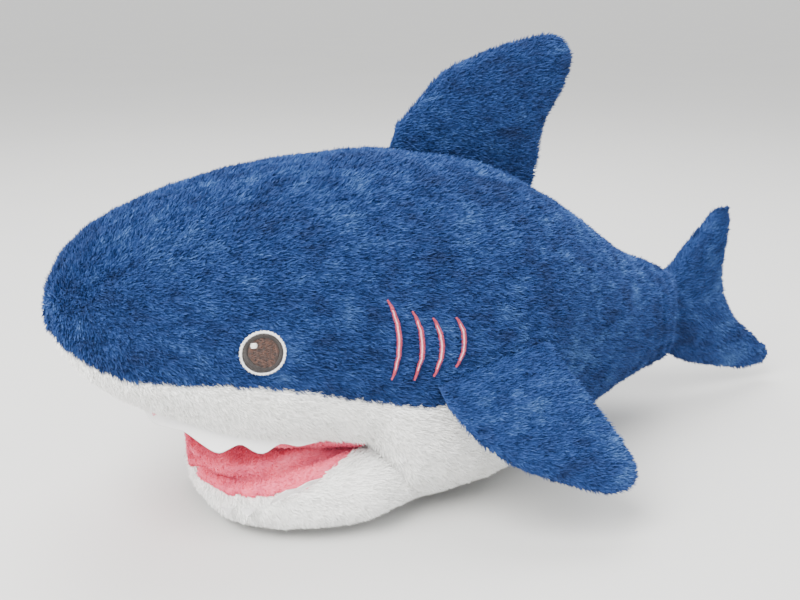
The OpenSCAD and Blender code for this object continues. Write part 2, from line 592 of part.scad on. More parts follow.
module pectoral_stuffing_left() {
    pectoral_stuffing(1);
}
module pectoral_top_right() {
    pectoral_panel(-1, -1);
}
module pectoral_under_right() {
    pectoral_panel(-1, 1);
}
module pectoral_stuffing_right() {
    pectoral_stuffing(-1);
}

// ---- Tail stalk ----
STALK_ROWS = 8;
function stalk_ring(share, from, to, steps, inset, side) = [for (j = [0:steps])
    clear_of_seam(stalk_point(share, from + (to - from) * j / steps, inset), side)];
module tail_panel(side) {
    shares = [for (i = [0:STALK_ROWS]) i / STALK_ROWS];
    color(BLUE) mirrored(side) panel([for (q = shares) stalk_ring(q, -90, 90, COLUMNS, 0, 1)],
        [for (q = shares) stalk_ring(q, -90, 90, COLUMNS, fabric, 1)]);
}
module tail_panel_left() {
    tail_panel(1);
}
module tail_panel_right() {
    tail_panel(-1);
}
module tail_stuffing() {
    rings = [for (i = [0:STALK_ROWS]) [for (j = [0:AROUND - 1])
        stalk_point(i / STALK_ROWS, -360 * j / AROUND, inner)]];
    color(FILLING) loft(concat(knuckle_cap(rings[0], tail_y, tail_r - inner), rings,
        socket_cap(rings[STALK_ROWS], tail_fin_y, tail_fin_r, tail_fin_swing)));
}

// ---- Tail fin: its front edge is round about its joint inside the stalk's socket ----
TAIL_ROWS = 22;
TAIL_COLUMNS = 12;
function tail_fin_point(i, t, inset, seam) =
    let (s = inset / tail_fin_height + (1 - cos(180 * i / TAIL_ROWS)) / 2 * (1 - 2 * inset / tail_fin_height),
         a = value(tail_fin_form, s, 1) * tail_fin_reach, b = value(tail_fin_form, s, 2) * tail_fin_reach - inset,
         full = value(tail_fin_form, s, 3) * tail_fin_thickness / 2, h = max(full - inset, 0.5),
         front = max(a, -tail_fin_r) + inset, c = front + max(min(tail_fin_r - inset, (b - front) / 2), 0.8),
         w = h * sin(t))
    [seam == 0 ? w : seam * max(seam * w, seam_gap / 2),
     tail_fin_y + c + cos(t) * (cos(t) > 0 ? max(b - c, 0.8) : c - front),
     tail_fin_floor + s * tail_fin_height];
module tail_fin_panel(side) {
    function grid(inset) = [for (i = [0:TAIL_ROWS]) [for (j = [0:TAIL_COLUMNS])
        tail_fin_point(i, 180 * j / TAIL_COLUMNS, inset, 1)]];
    color(BLUE) mirrored(side) panel(grid(0), grid(fabric));
}
module tail_fin_panel_left() {
    tail_fin_panel(1);
}
module tail_fin_panel_right() {
    tail_fin_panel(-1);
}
module tail_fin_stuffing() {
    color(FILLING) loft([for (i = [0:TAIL_ROWS]) [for (j = [TAIL_COLUMNS * 2 - 1:-1:0])
        tail_fin_point(i, 180 * j / TAIL_COLUMNS, inner, 0)]]);
}

back_panel_left();
back_panel_right();
muzzle_left();
muzzle_right();
belly_panel();
palate_lining();
trunk_stuffing();
eye_white_left();
eye_white_right();
eye_rim_left();
eye_rim_right();
eye_iris_left();
eye_iris_right();
eye_glint_left();
eye_glint_right();
gill_stitches_left();
gill_stitches_right();
upper_teeth();
jaw_panel();
jaw_lining();
jaw_stuffing();
lower_teeth();
dorsal_panel_left();
dorsal_panel_right();
dorsal_stuffing();
pectoral_top_left();
pectoral_under_left();
pectoral_stuffing_left();
pectoral_top_right();
pectoral_under_right();
pectoral_stuffing_right();
tail_panel_left();
tail_panel_right();
tail_stuffing();
tail_fin_panel_left();
tail_fin_panel_right();
tail_fin_stuffing();
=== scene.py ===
"""A plush shark: stuffed pile skins, a padded mouth, felt teeth, embroidered eyes and gills."""

import json
import logging
import math
from dataclasses import dataclass
from enum import Enum
from typing import Callable, Iterable, Sequence

import bmesh
import bpy
import numpy as np
from mathutils import Matrix, Vector, noise
from mathutils.bvhtree import BVHTree
from mathutils.kdtree import KDTree


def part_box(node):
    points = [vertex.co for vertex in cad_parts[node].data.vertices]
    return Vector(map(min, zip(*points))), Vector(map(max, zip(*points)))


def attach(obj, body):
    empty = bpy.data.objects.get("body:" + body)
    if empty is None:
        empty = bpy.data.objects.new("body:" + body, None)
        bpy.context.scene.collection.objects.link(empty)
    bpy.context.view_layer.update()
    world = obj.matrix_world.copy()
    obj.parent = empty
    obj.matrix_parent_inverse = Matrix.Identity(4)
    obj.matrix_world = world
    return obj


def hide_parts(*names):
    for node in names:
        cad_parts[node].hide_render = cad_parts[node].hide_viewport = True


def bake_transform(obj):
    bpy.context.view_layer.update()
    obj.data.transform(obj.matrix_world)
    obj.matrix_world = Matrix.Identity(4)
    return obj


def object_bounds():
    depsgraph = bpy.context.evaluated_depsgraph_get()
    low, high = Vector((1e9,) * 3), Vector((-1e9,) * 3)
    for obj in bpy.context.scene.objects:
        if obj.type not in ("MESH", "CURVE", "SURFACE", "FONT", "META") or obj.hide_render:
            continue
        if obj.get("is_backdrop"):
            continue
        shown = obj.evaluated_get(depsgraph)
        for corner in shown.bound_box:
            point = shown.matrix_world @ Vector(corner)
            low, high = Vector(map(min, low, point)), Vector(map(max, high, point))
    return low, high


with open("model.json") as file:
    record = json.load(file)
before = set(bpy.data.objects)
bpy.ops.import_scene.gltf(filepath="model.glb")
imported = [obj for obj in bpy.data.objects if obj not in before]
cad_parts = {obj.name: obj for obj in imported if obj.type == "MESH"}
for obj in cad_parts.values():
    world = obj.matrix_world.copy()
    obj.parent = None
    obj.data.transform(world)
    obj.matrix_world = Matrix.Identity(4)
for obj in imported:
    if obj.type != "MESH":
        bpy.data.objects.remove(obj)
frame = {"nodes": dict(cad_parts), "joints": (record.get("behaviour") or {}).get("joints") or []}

LOG = logging.getLogger("plush_shark")
MM = 0.001
Colour = tuple[float, float, float]


class Side(Enum):
    """Which flank of the shark a piece is on: +X is its own left."""

    LEFT = 1
    RIGHT = -1

    @property
    def word(self) -> str:
        """Ending of the piece names on this side."""
        return self.name.lower()


class Cloth(Enum):
    """Fabrics of the skin, in the order of the skins' material slots."""

    BLUE = 0
    WHITE = 1
    PINK = 2


# ---- Shader groups ----


def shader_group(
    name: str,
    inputs: Sequence[tuple[str, str, float | Colour]],
    outputs: Sequence[tuple[str, str]],
) -> tuple[bpy.types.ShaderNodeTree, bpy.types.Node, bpy.types.Node]:
    """Starts a shader node group.

    Args:
        name: The group's name.
        inputs: Name, socket type and default of each input.
        outputs: Name and socket type of each output.

    Returns:
        The group, its input node and its output node.
    """
    tree = bpy.data.node_groups.new(name, "ShaderNodeTree")
    for label, kind, default in inputs:
        socket = tree.interface.new_socket(label, in_out="INPUT", socket_type=kind)
        if kind == "NodeSocketColor":
            socket.default_value = (*default, 1.0)
        elif kind == "NodeSocketFloat":
            socket.default_value = default
    for label, kind in outputs:
        tree.interface.new_socket(label, in_out="OUTPUT", socket_type=kind)
    return tree, tree.nodes.new("NodeGroupInput"), tree.nodes.new("NodeGroupOutput")


def maths(tree: bpy.types.NodeTree, operation: str, a: object, b: object = 0.5) -> bpy.types.NodeSocket:
    """Adds a Math node.

    Args:
        tree: The node tree.
        operation: The node's operation.
        a: First socket or number.
        b: Second socket or number.

    Returns:
        The node's output.
    """
    node = tree.nodes.new("ShaderNodeMath")
    node.operation = operation
    for slot, value in enumerate((a, b)):
        if isinstance(value, (int, float)):
            node.inputs[slot].default_value = value
        else:
            tree.links.new(value, node.inputs[slot])
    return node.outputs[0]


def mixed(tree: bpy.types.NodeTree, share: object, a: object, b: object) -> bpy.types.NodeSocket:
    """Adds a colour Mix node.

    Args:
        tree: The node tree.
        share: Socket or number that runs from a to b.
        a: First colour or socket.
        b: Second colour or socket.

    Returns:
        The mixed colour's socket.
    """
    node = tree.nodes.new("ShaderNodeMix")
    node.data_type = "RGBA"
    for name, value in (("Factor_Float", share), ("A_Color", a), ("B_Color", b)):
        socket = next(s for s in node.inputs if s.identifier == name)
        if isinstance(value, bpy.types.NodeSocket):
            tree.links.new(value, socket)
        else:
            socket.default_value = (*value, 1.0) if isinstance(value, tuple) else value
    return next(s for s in node.outputs if s.identifier == "Result_Color")


def pile_tone_group() -> bpy.types.ShaderNodeTree:
    """Builds the group that colours pile from its root to its tip, with painted shade at the root and
    painted sheen in the strand's tone.

    Returns:
        A group that reads the pile's own map: its first place is the tone of the strand, its
        second the distance along it.
    """
    tree, start, end = shader_group(
        "Pile tone",
        [
            ("Deep", "NodeSocketColor", (0.1, 0.1, 0.1)),
            ("Body", "NodeSocketColor", (0.5, 0.5, 0.5)),
            ("Bright", "NodeSocketColor", (0.9, 0.9, 0.9)),
            ("Root shade", "NodeSocketFloat", 0.5),
        ],
        [("Color", "NodeSocketColor"), ("Roughness", "NodeSocketFloat")],
    )
    place = tree.nodes.new("ShaderNodeUVMap")
    place.uv_map = "OFBake"
    parts = tree.nodes.new("ShaderNodeSeparateXYZ")
    tree.links.new(place.outputs[0], parts.inputs[0])
    tone, along = parts.outputs[0], parts.outputs[1]
    # Painted sheen: the tone runs from Deep through Body to Bright; it holds painted sheen patches and
    # streaks and a random spread from strand to strand.
    low = mixed(tree, maths(tree, "MULTIPLY", tone, 2.0), start.outputs["Deep"], start.outputs["Body"])
    high = maths(tree, "MULTIPLY", maths(tree, "SUBTRACT", tone, 0.5), 2.0)
    colour = mixed(tree, high, low, start.outputs["Bright"])
    # Painted shade: the roots darken towards Deep, less so up the strand.
    shade = maths(tree, "MULTIPLY", maths(tree, "SUBTRACT", 1.0, along), start.outputs["Root shade"])
    tree.links.new(mixed(tree, shade, colour, start.outputs["Deep"]), end.inputs["Color"])
    rough = maths(tree, "SUBTRACT", 0.9, maths(tree, "MULTIPLY", along, 0.25))
    tree.links.new(rough, end.inputs["Roughness"])
    return tree


def thread_group() -> bpy.types.ShaderNodeTree:
    """Builds the group that varies embroidery thread.

    Returns:
        A group that gives a mottled thread colour and the height of its twist.
    """
    tree, start, end = shader_group(
        "Embroidery thread",
        [
            ("Base", "NodeSocketColor", (0.5, 0.5, 0.5)),
            ("Light", "NodeSocketColor", (0.8, 0.8, 0.8)),
            ("Patch size", "NodeSocketFloat", 500.0),
            ("Patch share", "NodeSocketFloat", 0.5),
        ],
        [("Color", "NodeSocketColor"), ("Height", "NodeSocketFloat")],
    )
    place = tree.nodes.new("ShaderNodeTexCoord")
    patch = tree.nodes.new("ShaderNodeTexNoise")
    patch.inputs["Detail"].default_value = 3.0
    tree.links.new(place.outputs["Object"], patch.inputs["Vector"])
    tree.links.new(start.outputs["Patch size"], patch.inputs["Scale"])
    share = maths(tree, "MULTIPLY", maths(tree, "SUBTRACT", patch.outputs["Fac"], 0.38), 4.0)
    share = maths(tree, "MULTIPLY", share, start.outputs["Patch share"])
    tree.links.new(mixed(tree, share, start.outputs["Base"], start.outputs["Light"]), end.inputs["Color"])
    twist = tree.nodes.new("ShaderNodeTexNoise")
    twist.inputs["Scale"].default_value = 2600.0
    tree.links.new(place.outputs["Object"], twist.inputs["Vector"])
    tree.links.new(twist.outputs["Fac"], end.inputs["Height"])
    return tree


GROUPS: dict[str, Callable[[], bpy.types.ShaderNodeTree]] = {
    "Pile tone": pile_tone_group,
    "Embroidery thread": thread_group,
}


def placed_group(tree: bpy.types.NodeTree, name: str) -> bpy.types.Node:
    """Places a shader group in a material, building it the first time.

    Args:
        tree: The material's node tree.
        name: A key of GROUPS.

    Returns:
        The group node.
    """
    node = tree.nodes.new("ShaderNodeGroup")
    node.node_tree = bpy.data.node_groups.get(name) or GROUPS[name]()
    return node


# ---- Finishes ----


@dataclass(frozen=True)
class PileFinish:
    """Brushed polyester pile.

    Args:
        name: The material's name.
        deep: Colour of the painted shade between the strands, and the dark end of the pile's tone.
        body: Colour of most strands.
        bright: Colour of the painted sheen, on the strands in its lighter patches.
        root_shade: How much painted shade darkens the roots, 0 to 1.
        sheen: Strength of the soft glow at grazing angles.
    """

    name: str
    deep: Colour
    body: Colour
    bright: Colour
    root_shade: float = 0.55
    sheen: float = 0.25

    def material(self) -> bpy.types.Material:
        """Returns the material, made once."""
        found = bpy.data.materials.get(self.name)
        if found:
            return found
        material = bpy.data.materials.new(self.name)
        material.use_nodes = True
        tree = material.node_tree
        shader = tree.nodes["Principled BSDF"]
        shader.inputs["Specular IOR Level"].default_value = 0.25
        shader.inputs["Sheen Weight"].default_value = self.sheen
        shader.inputs["Sheen Roughness"].default_value = 0.45
        shader.inputs["Sheen Tint"].default_value = (*self.bright, 1.0)
        tone = placed_group(tree, "Pile tone")
        tone.inputs["Deep"].default_value = (*self.deep, 1.0)
        tone.inputs["Body"].default_value = (*self.body, 1.0)
        tone.inputs["Bright"].default_value = (*self.bright, 1.0)
        tone.inputs["Root shade"].default_value = self.root_shade
        tree.links.new(tone.outputs["Color"], shader.inputs["Base Color"])
        tree.links.new(tone.outputs["Roughness"], shader.inputs["Roughness"])
        return material


@dataclass(frozen=True)
class ThreadFinish:
    """Shiny embroidery thread.

    Args:
        name: The material's name.
        base: Main colour of the thread.
        light: Colour of its lighter patches.
        patches: Share of the lighter patches, 0 to 1.
        patch_size: Patches to a metre.
        roughness: Roughness of the thread.
    """

    name: str
    base: Colour
    light: Colour
    patches: float = 0.4
    patch_size: float = 420.0
    roughness: float = 0.42

    def material(self) -> bpy.types.Material:
        """Returns the material, made once."""
        found = bpy.data.materials.get(self.name)
        if found:
            return found
        material = bpy.data.materials.new(self.name)
        material.use_nodes = True
        tree = material.node_tree
        shader = tree.nodes["Principled BSDF"]
        shader.inputs["Roughness"].default_value = self.roughness
        shader.inputs["Sheen Weight"].default_value = 0.15
        thread = placed_group(tree, "Embroidery thread")
        thread.inputs["Base"].default_value = (*self.base, 1.0)
        thread.inputs["Light"].default_value = (*self.light, 1.0)
        thread.inputs["Patch share"].default_value = self.patches
        thread.inputs["Patch size"].default_value = self.patch_size
        bump = tree.nodes.new("ShaderNodeBump")
        bump.inputs["Strength"].default_value = 0.5
        bump.inputs["Distance"].default_value = 0.0004
        tree.links.new(thread.outputs["Height"], bump.inputs["Height"])
        tree.links.new(bump.outputs["Normal"], shader.inputs["Normal"])
        tree.links.new(thread.outputs["Color"], shader.inputs["Base Color"])
        return material


BLUE_PILE = PileFinish(
    "Blue pile", (0.007, 0.022, 0.088), (0.017, 0.055, 0.205), (0.075, 0.17, 0.40), 0.5, 0.18
)
WHITE_PILE = PileFinish("White pile", (0.97, 0.97, 0.95), (1.0, 1.0, 0.985), (1.0, 1.0, 1.0), 0.12, 0.35)
PINK_PILE = PileFinish("Pink pile", (0.66, 0.09, 0.17), (0.95, 0.165, 0.26), (1.0, 0.32, 0.42), 0.35, 0.08)
PILES = {Cloth.BLUE: BLUE_PILE, Cloth.WHITE: WHITE_PILE, Cloth.PINK: PINK_PILE}
SATIN = ThreadFinish("White satin", (0.95, 0.95, 0.95), (1.0, 1.0, 1.0), 0.3, 90.0, 0.38)
EYE_WHITE = ThreadFinish("Eye white thread", (0.82, 0.81, 0.78), (0.92, 0.92, 0.9), 0.3)
EYE_BLACK = ThreadFinish("Eye black thread", (0.014, 0.010, 0.009), (0.05, 0.035, 0.03), 0.25)
EYE_BROWN = ThreadFinish("Eye brown thread", (0.022, 0.009, 0.006), (0.15, 0.06, 0.035), 0.45, 620.0)
GILL_RED = ThreadFinish("Gill red thread", (0.36, 0.018, 0.05), (0.55, 0.06, 0.12), 0.4)
# Painted highlight of the gills' satin, laid as lighter pink thread down each arc.
GILL_PAINTED_HIGHLIGHT = ThreadFinish("Gill pink thread", (0.80, 0.42, 0.50), (0.92, 0.66, 0.70), 0.5)


# ---- Mesh helpers ----


def box_of(*nodes: str) -> tuple[Vector, Vector]:
    """Lowest and highest corners of several CAD nodes together."""
    boxes = [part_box(n) for n in nodes]
    low = Vector([min(b[0][k] for b in boxes) for k in range(3)])
    return low, Vector([max(b[1][k] for b in boxes) for k in range(3)])


def merged(nodes: Iterable[str]) -> bmesh.types.BMesh:
    """Copies CAD nodes into one mesh with its doubles merged."""
    bm = bmesh.new()
    for name in nodes:
        bm.from_mesh(frame["nodes"][name].data)
    bmesh.ops.remove_doubles(bm, verts=bm.verts, dist=1e-6)
    return bm


def piece(bm: bmesh.types.BMesh, name: str, materials: Sequence[bpy.types.Material]) -> bpy.types.Object:
    """Turns a bmesh into an object in the scene.

    Args:
        bm: The mesh, which is freed.
        name: The piece's name.
        materials: Its materials, in slot order.

    Returns:
        The new object.
    """
    mesh = bpy.data.meshes.new(name)
    bm.to_mesh(mesh)
    bm.free()
    for material in materials:
        mesh.materials.append(material)
    mesh.shade_smooth()
    obj = bpy.data.objects.new(name, mesh)
    bpy.context.scene.collection.objects.link(obj)
    return obj


def applied(obj: bpy.types.Object) -> bpy.types.Object:
    """Replaces a piece's mesh by the result of its modifiers.

    Args:
        obj: The piece.

    Returns:
        The same piece, with no modifiers left.
    """
    bpy.context.view_layer.update()
    graph = bpy.context.evaluated_depsgraph_get()
    mesh = bpy.data.meshes.new_from_object(
        obj.evaluated_get(graph), preserve_all_data_layers=True, depsgraph=graph
    )
    old = obj.data
    obj.modifiers.clear()
    obj.data = mesh
    bpy.data.meshes.remove(old)
    return obj


def remeshed(bm: bmesh.types.BMesh, voxel: float, smooth: int) -> bmesh.types.BMesh:
    """Joins the solids of a mesh into one even, rounded surface.

    Args:
        bm: Closed solids, which are freed.
        voxel: Size of the new faces, in metres.
        smooth: Rounds of smoothing.

    Returns:
        The outer surface as a new mesh.
    """
    obj = piece(bm, "remesh_work", [])
    fuse = obj.modifiers.new("Fuse", "REMESH")
    fuse.mode = "VOXEL"
    fuse.voxel_size = voxel
    calm = obj.modifiers.new("Calm", "SMOOTH")
    calm.factor = 0.5
    calm.iterations = smooth
    applied(obj)
    out = bmesh.new()
    out.from_mesh(obj.data)
    bpy.data.meshes.remove(obj.data)
    keep_largest(out)
    return out


def keep_largest(bm: bmesh.types.BMesh) -> None:
    """Deletes every loose part of a mesh but the one with the most vertices."""
    bm.verts.ensure_lookup_table()
    part = [-1] * len(bm.verts)
    sizes: list[int] = []
    for seed in bm.verts:
        if part[seed.index] >= 0:
            continue
        stack, count, mark = [seed], 0, len(sizes)
        part[seed.index] = mark
        while stack:
            vert = stack.pop()
            count += 1
            for edge in vert.link_edges:
                other = edge.other_vert(vert)
                if part[other.index] < 0:
                    part[other.index] = mark
                    stack.append(other)
        sizes.append(count)
    best = int(np.argmax(sizes))
    bmesh.ops.delete(bm, geom=[v for v in bm.verts if part[v.index] != best], context="VERTS")


def bridge_gap(bm: bmesh.types.BMesh, test: Callable[[Vector], bool]) -> None:
    """Fills the gap of a joint with the smallest rounded plug over the vertices that pass a test.

    Args:
        bm: The solids on both sides, which take the plug.
        test: Picks the vertices beside the gap.
    """
    plug = bmesh.new()
    for vert in bm.verts:
        if test(vert.co):
            plug.verts.new(vert.co)
    found = bmesh.ops.convex_hull(plug, input=plug.verts[:])
    loose = {g for g in found["geom_interior"] + found["geom_unused"] if isinstance(g, bmesh.types.BMVert)}
    bmesh.ops.delete(plug, geom=list(loose), context="VERTS")
    bmesh.ops.recalc_face_normals(plug, faces=plug.faces[:])
    mesh = bpy.data.meshes.new("plug")
    plug.to_mesh(mesh)
    plug.free()
    bm.from_mesh(mesh)
    bpy.data.meshes.remove(mesh)


def smooth_where(bm: bmesh.types.BMesh, test: Callable[[Vector], bool], rounds: int) -> None:
    """Smooths the vertices that pass a test."""
    verts = [v for v in bm.verts if test(v.co)]
    for _ in range(rounds):
        bmesh.ops.smooth_vert(
            bm, verts=verts, factor=0.5, use_axis_x=True, use_axis_y=True, use_axis_z=True
        )


def cut_piece(bm: bmesh.types.BMesh, at: Vector, normal: Vector) -> bmesh.types.BMesh:
    """Copies a mesh and keeps the part behind a plane, with its cut closed.

    Args:
        bm: The whole mesh, which stays as it is.
        at: A point on the plane.
        normal: Points to the part that is cut away.

    Returns:
        The new mesh.
    """
    out = bm.copy()
    cut = bmesh.ops.bisect_plane(
        out, geom=out.verts[:] + out.edges[:] + out.faces[:], plane_co=at, plane_no=normal, clear_outer=True
    )
    rim = [e for e in cut["geom_cut"] if isinstance(e, bmesh.types.BMEdge)]
    bmesh.ops.edgeloop_fill(out, edges=rim)
    return out


def rumple(bm: bmesh.types.BMesh, inset: float, lumps: float, creases: float, seed: float) -> None:
    """Gives a stuffed surface its soft lumps and small creases.

    Args:
        bm: The surface.
        inset: Depth that the whole surface is drawn in, in metres.
        lumps: Height of the broad lumps, in metres.
        creases: Height of the small creases, in metres.
        seed: Moves the pattern, so that no two pieces match.
    """
    bm.normal_update()
    shift = Vector((seed, seed * 0.7, -seed))
    moves = []
    for vert in bm.verts:
        broad = noise.noise(vert.co * 22.0 + shift)
        fold = 1.0 - abs(noise.noise(vert.co * 60.0 + shift)) * 3.0
        moves.append(vert.normal * (lumps * broad + creases * min(fold, 0.6) - inset))
    for vert, move in zip(bm.verts, moves):
        vert.co += move
        vert.co.z = max(vert.co.z, 0.0004)


def rounded(side: float, front: float, power: float, steps: int) -> list[tuple[float, float]]:
    """Returns a quarter of a rounded rectangle, from its front to its side.

    Args:
        side: Half width.
        front: Length.
        power: 2 for an ellipse, more for squarer corners.
        steps: Number of stretches.

    Returns:
        Points as width and length.
    """
    turns = [math.pi / 2 * k / steps for k in range(steps + 1)]
    share = 2 / power
    return [(side * math.sin(t) ** share, front * max(0.0, math.cos(t)) ** share) for t in turns]


def plump(bm: bmesh.types.BMesh, cloth: Cloth, rise: float) -> None:
    """Pushes the faces of one cloth out along their normals.

    Args:
        bm: The surface, with its cloths painted.
        cloth: The cloth to push out.
        rise: How far, in metres.
    """
    bm.normal_update()
    for vert in bm.verts:
        if vert.link_faces and all(f.material_index == cloth.value for f in vert.link_faces):
            vert.co += vert.normal * rise


# ---- Pile ----


def strand_mesh() -> bpy.types.Object:
    """Builds one strand of pile, one unit tall, that bends and comes to a point.

    Returns:
        The strand's object, which isn't linked to the scene.
    """
    bm = bmesh.new()
    low = [bm.verts.new((-0.5, 0.0, 0.0)), bm.verts.new((0.5, 0.0, 0.0))]
    edge = bm.edges.new(low)
    up = bmesh.ops.extrude_edge_only(bm, edges=[edge])["geom"]
    mid = [g for g in up if isinstance(g, bmesh.types.BMVert)]
    for vert in mid:
        vert.co = Vector((vert.co.x * 0.8, 0.10, 0.55))
    tip = bm.verts.new((0.0, 0.30, 1.0))
    bm.faces.new((mid[0], mid[1], tip))
    mesh = bpy.data.meshes.new("strand")
    bm.to_mesh(mesh)
    bm.free()
    along = mesh.attributes.new("along", "FLOAT", "POINT")
    along.data.foreach_set("value", [v.co.z for v in mesh.vertices])
    return bpy.data.objects.new("strand", mesh)


def pile_nodes() -> bpy.types.GeometryNodeTree:
    """Builds the node group that sets strands of pile on a skin.

    Returns:
        A group that reads the skin's attributes comb, tone and rise, and gives only strands.
    """
    tree = bpy.data.node_groups.new("Set pile", "GeometryNodeTree")
    face = tree.interface
    face.new_socket("Geometry", in_out="INPUT", socket_type="NodeSocketGeometry")
    face.new_socket("Geometry", in_out="OUTPUT", socket_type="NodeSocketGeometry")
    face.new_socket("Strand", in_out="INPUT", socket_type="NodeSocketObject")
    for label in ("Density", "Length", "Width"):
        face.new_socket(label, in_out="INPUT", socket_type="NodeSocketFloat")
    face.new_socket("Seed", in_out="INPUT", socket_type="NodeSocketInt")
    link = tree.links.new

    def add(kind: str, **settings: object) -> bpy.types.Node:
        """Adds a node with its settings."""
        node = tree.nodes.new(kind)
        for key, value in settings.items():
            setattr(node, key, value)
        return node

    def named(name: str, kind: str) -> bpy.types.NodeSocket:
        """Reads a named attribute."""
        node = add("GeometryNodeInputNamedAttribute", data_type=kind)
        node.inputs["Name"].default_value = name
        return next(s for s in node.outputs if s.enabled)

    def vector(operation: str, a: object, b: object = None, scale: object = None) -> bpy.types.NodeSocket:
        """Adds a Vector Math node."""
        node = add("ShaderNodeVectorMath", operation=operation)
        for slot, value in ((0, a), (1, b)):
            if value is not None:
                link(value, node.inputs[slot])
        if isinstance(scale, float):
            node.inputs["Scale"].default_value = scale
        elif scale is not None:
            link(scale, node.inputs["Scale"])
        return node.outputs[0]

    def chance(low: float, high: float, seed: int) -> bpy.types.NodeSocket:
        """Adds a random number for each strand."""
        node = add("FunctionNodeRandomValue", data_type="FLOAT")
        floats = [s for s in node.inputs if s.enabled and s.type == "VALUE"]
        floats[0].default_value, floats[1].default_value = low, high
        next(s for s in node.inputs if s.name == "Seed").default_value = seed
        return next(s for s in node.outputs if s.enabled)

    def times(a: object, b: object, operation: str = "MULTIPLY") -> bpy.types.NodeSocket:
        """Adds a Math node on two sockets or numbers."""
        return maths(tree, operation, a, b)

    start, end = add("NodeGroupInput"), add("NodeGroupOutput")
    points = add("GeometryNodeDistributePointsOnFaces", distribute_method="RANDOM")
    link(start.outputs["Geometry"], points.inputs["Mesh"])
    rise = named("rise", "FLOAT")
    link(times(start.outputs["Density"], times(rise, 0.02, "GREATER_THAN")), points.inputs["Density"])
    link(start.outputs["Seed"], points.inputs["Seed"])
    keep = add("GeometryNodeStoreNamedAttribute", data_type="FLOAT_VECTOR", domain="POINT")
    keep.inputs["Name"].default_value = "skin_normal"
    link(points.outputs["Points"], keep.inputs["Geometry"])
    link(points.outputs["Normal"], keep.inputs["Value"])
    spot = add("GeometryNodeInputPosition")
    curl = add("ShaderNodeTexNoise")
    curl.inputs["Scale"].default_value = 150.0
    curl.inputs["Detail"].default_value = 2.0
    link(spot.outputs[0], curl.inputs["Vector"])
    half = add("FunctionNodeInputVector")
    half.vector = (0.5, 0.5, 0.5)
    clump = vector("SCALE", vector("SUBTRACT", curl.outputs["Color"], half.outputs[0]), scale=1.15)
    stray = add("FunctionNodeRandomValue", data_type="FLOAT_VECTOR")
    ends = [s for s in stray.inputs if s.enabled and s.type == "VECTOR"]
    ends[0].default_value, ends[1].default_value = (-0.28,) * 3, (0.28,) * 3
    upright = vector("SCALE", named("skin_normal", "FLOAT_VECTOR"), scale=0.62)
    lean = vector("ADD", upright, named("comb", "FLOAT_VECTOR"))
    lean = vector("ADD", vector("ADD", lean, clump), next(s for s in stray.outputs if s.enabled))
    turn = add("FunctionNodeAlignRotationToVector", axis="Z")
    link(lean, turn.inputs["Vector"])
    spin = add("FunctionNodeRotateRotation", rotation_space="LOCAL")
    spin_by = add("FunctionNodeAxisAngleToRotation")
    spin_by.inputs["Axis"].default_value = (0.0, 0.0, 1.0)
    link(chance(-3.14, 3.14, 7), spin_by.inputs["Angle"])
    link(turn.outputs[0], spin.inputs[0])
    link(spin_by.outputs[0], spin.inputs[1])
    size = add("ShaderNodeCombineXYZ")
    tall = times(times(start.outputs["Length"], chance(0.65, 1.15, 3)), rise)
    wide = times(start.outputs["Width"], chance(0.7, 1.2, 5))
    link(wide, size.inputs[0])
    link(tall, size.inputs[1])
    link(tall, size.inputs[2])
    strand = add("GeometryNodeObjectInfo")
    link(start.outputs["Strand"], strand.inputs[0])
    grow = add("GeometryNodeInstanceOnPoints")
    link(keep.outputs[0], grow.inputs["Points"])
    link(strand.outputs["Geometry"], grow.inputs["Instance"])
    link(spin.outputs[0], grow.inputs["Rotation"])
    link(size.outputs[0], grow.inputs["Scale"])
    shade = add("GeometryNodeStoreNamedAttribute", data_type="FLOAT", domain="INSTANCE")
    shade.inputs["Name"].default_value = "strand_tone"
    link(grow.outputs[0], shade.inputs["Geometry"])
    link(times(named("tone", "FLOAT"), chance(-0.16, 0.16, 11), "ADD"), shade.inputs["Value"])
    real = add("GeometryNodeRealizeInstances")
    link(shade.outputs[0], real.inputs[0])
    place = add("ShaderNodeCombineXYZ")
    link(times(times(named("strand_tone", "FLOAT"), 0.02, "MAXIMUM"), 0.98, "MINIMUM"), place.inputs[0])
    link(named("along", "FLOAT"), place.inputs[1])
    chart = add("GeometryNodeStoreNamedAttribute", data_type="FLOAT2", domain="CORNER")
    chart.inputs["Name"].default_value = "OFBake"
    link(real.outputs[0], chart.inputs["Geometry"])
    link(place.outputs[0], chart.inputs["Value"])
    link(chart.outputs[0], end.inputs[0])
    return tree


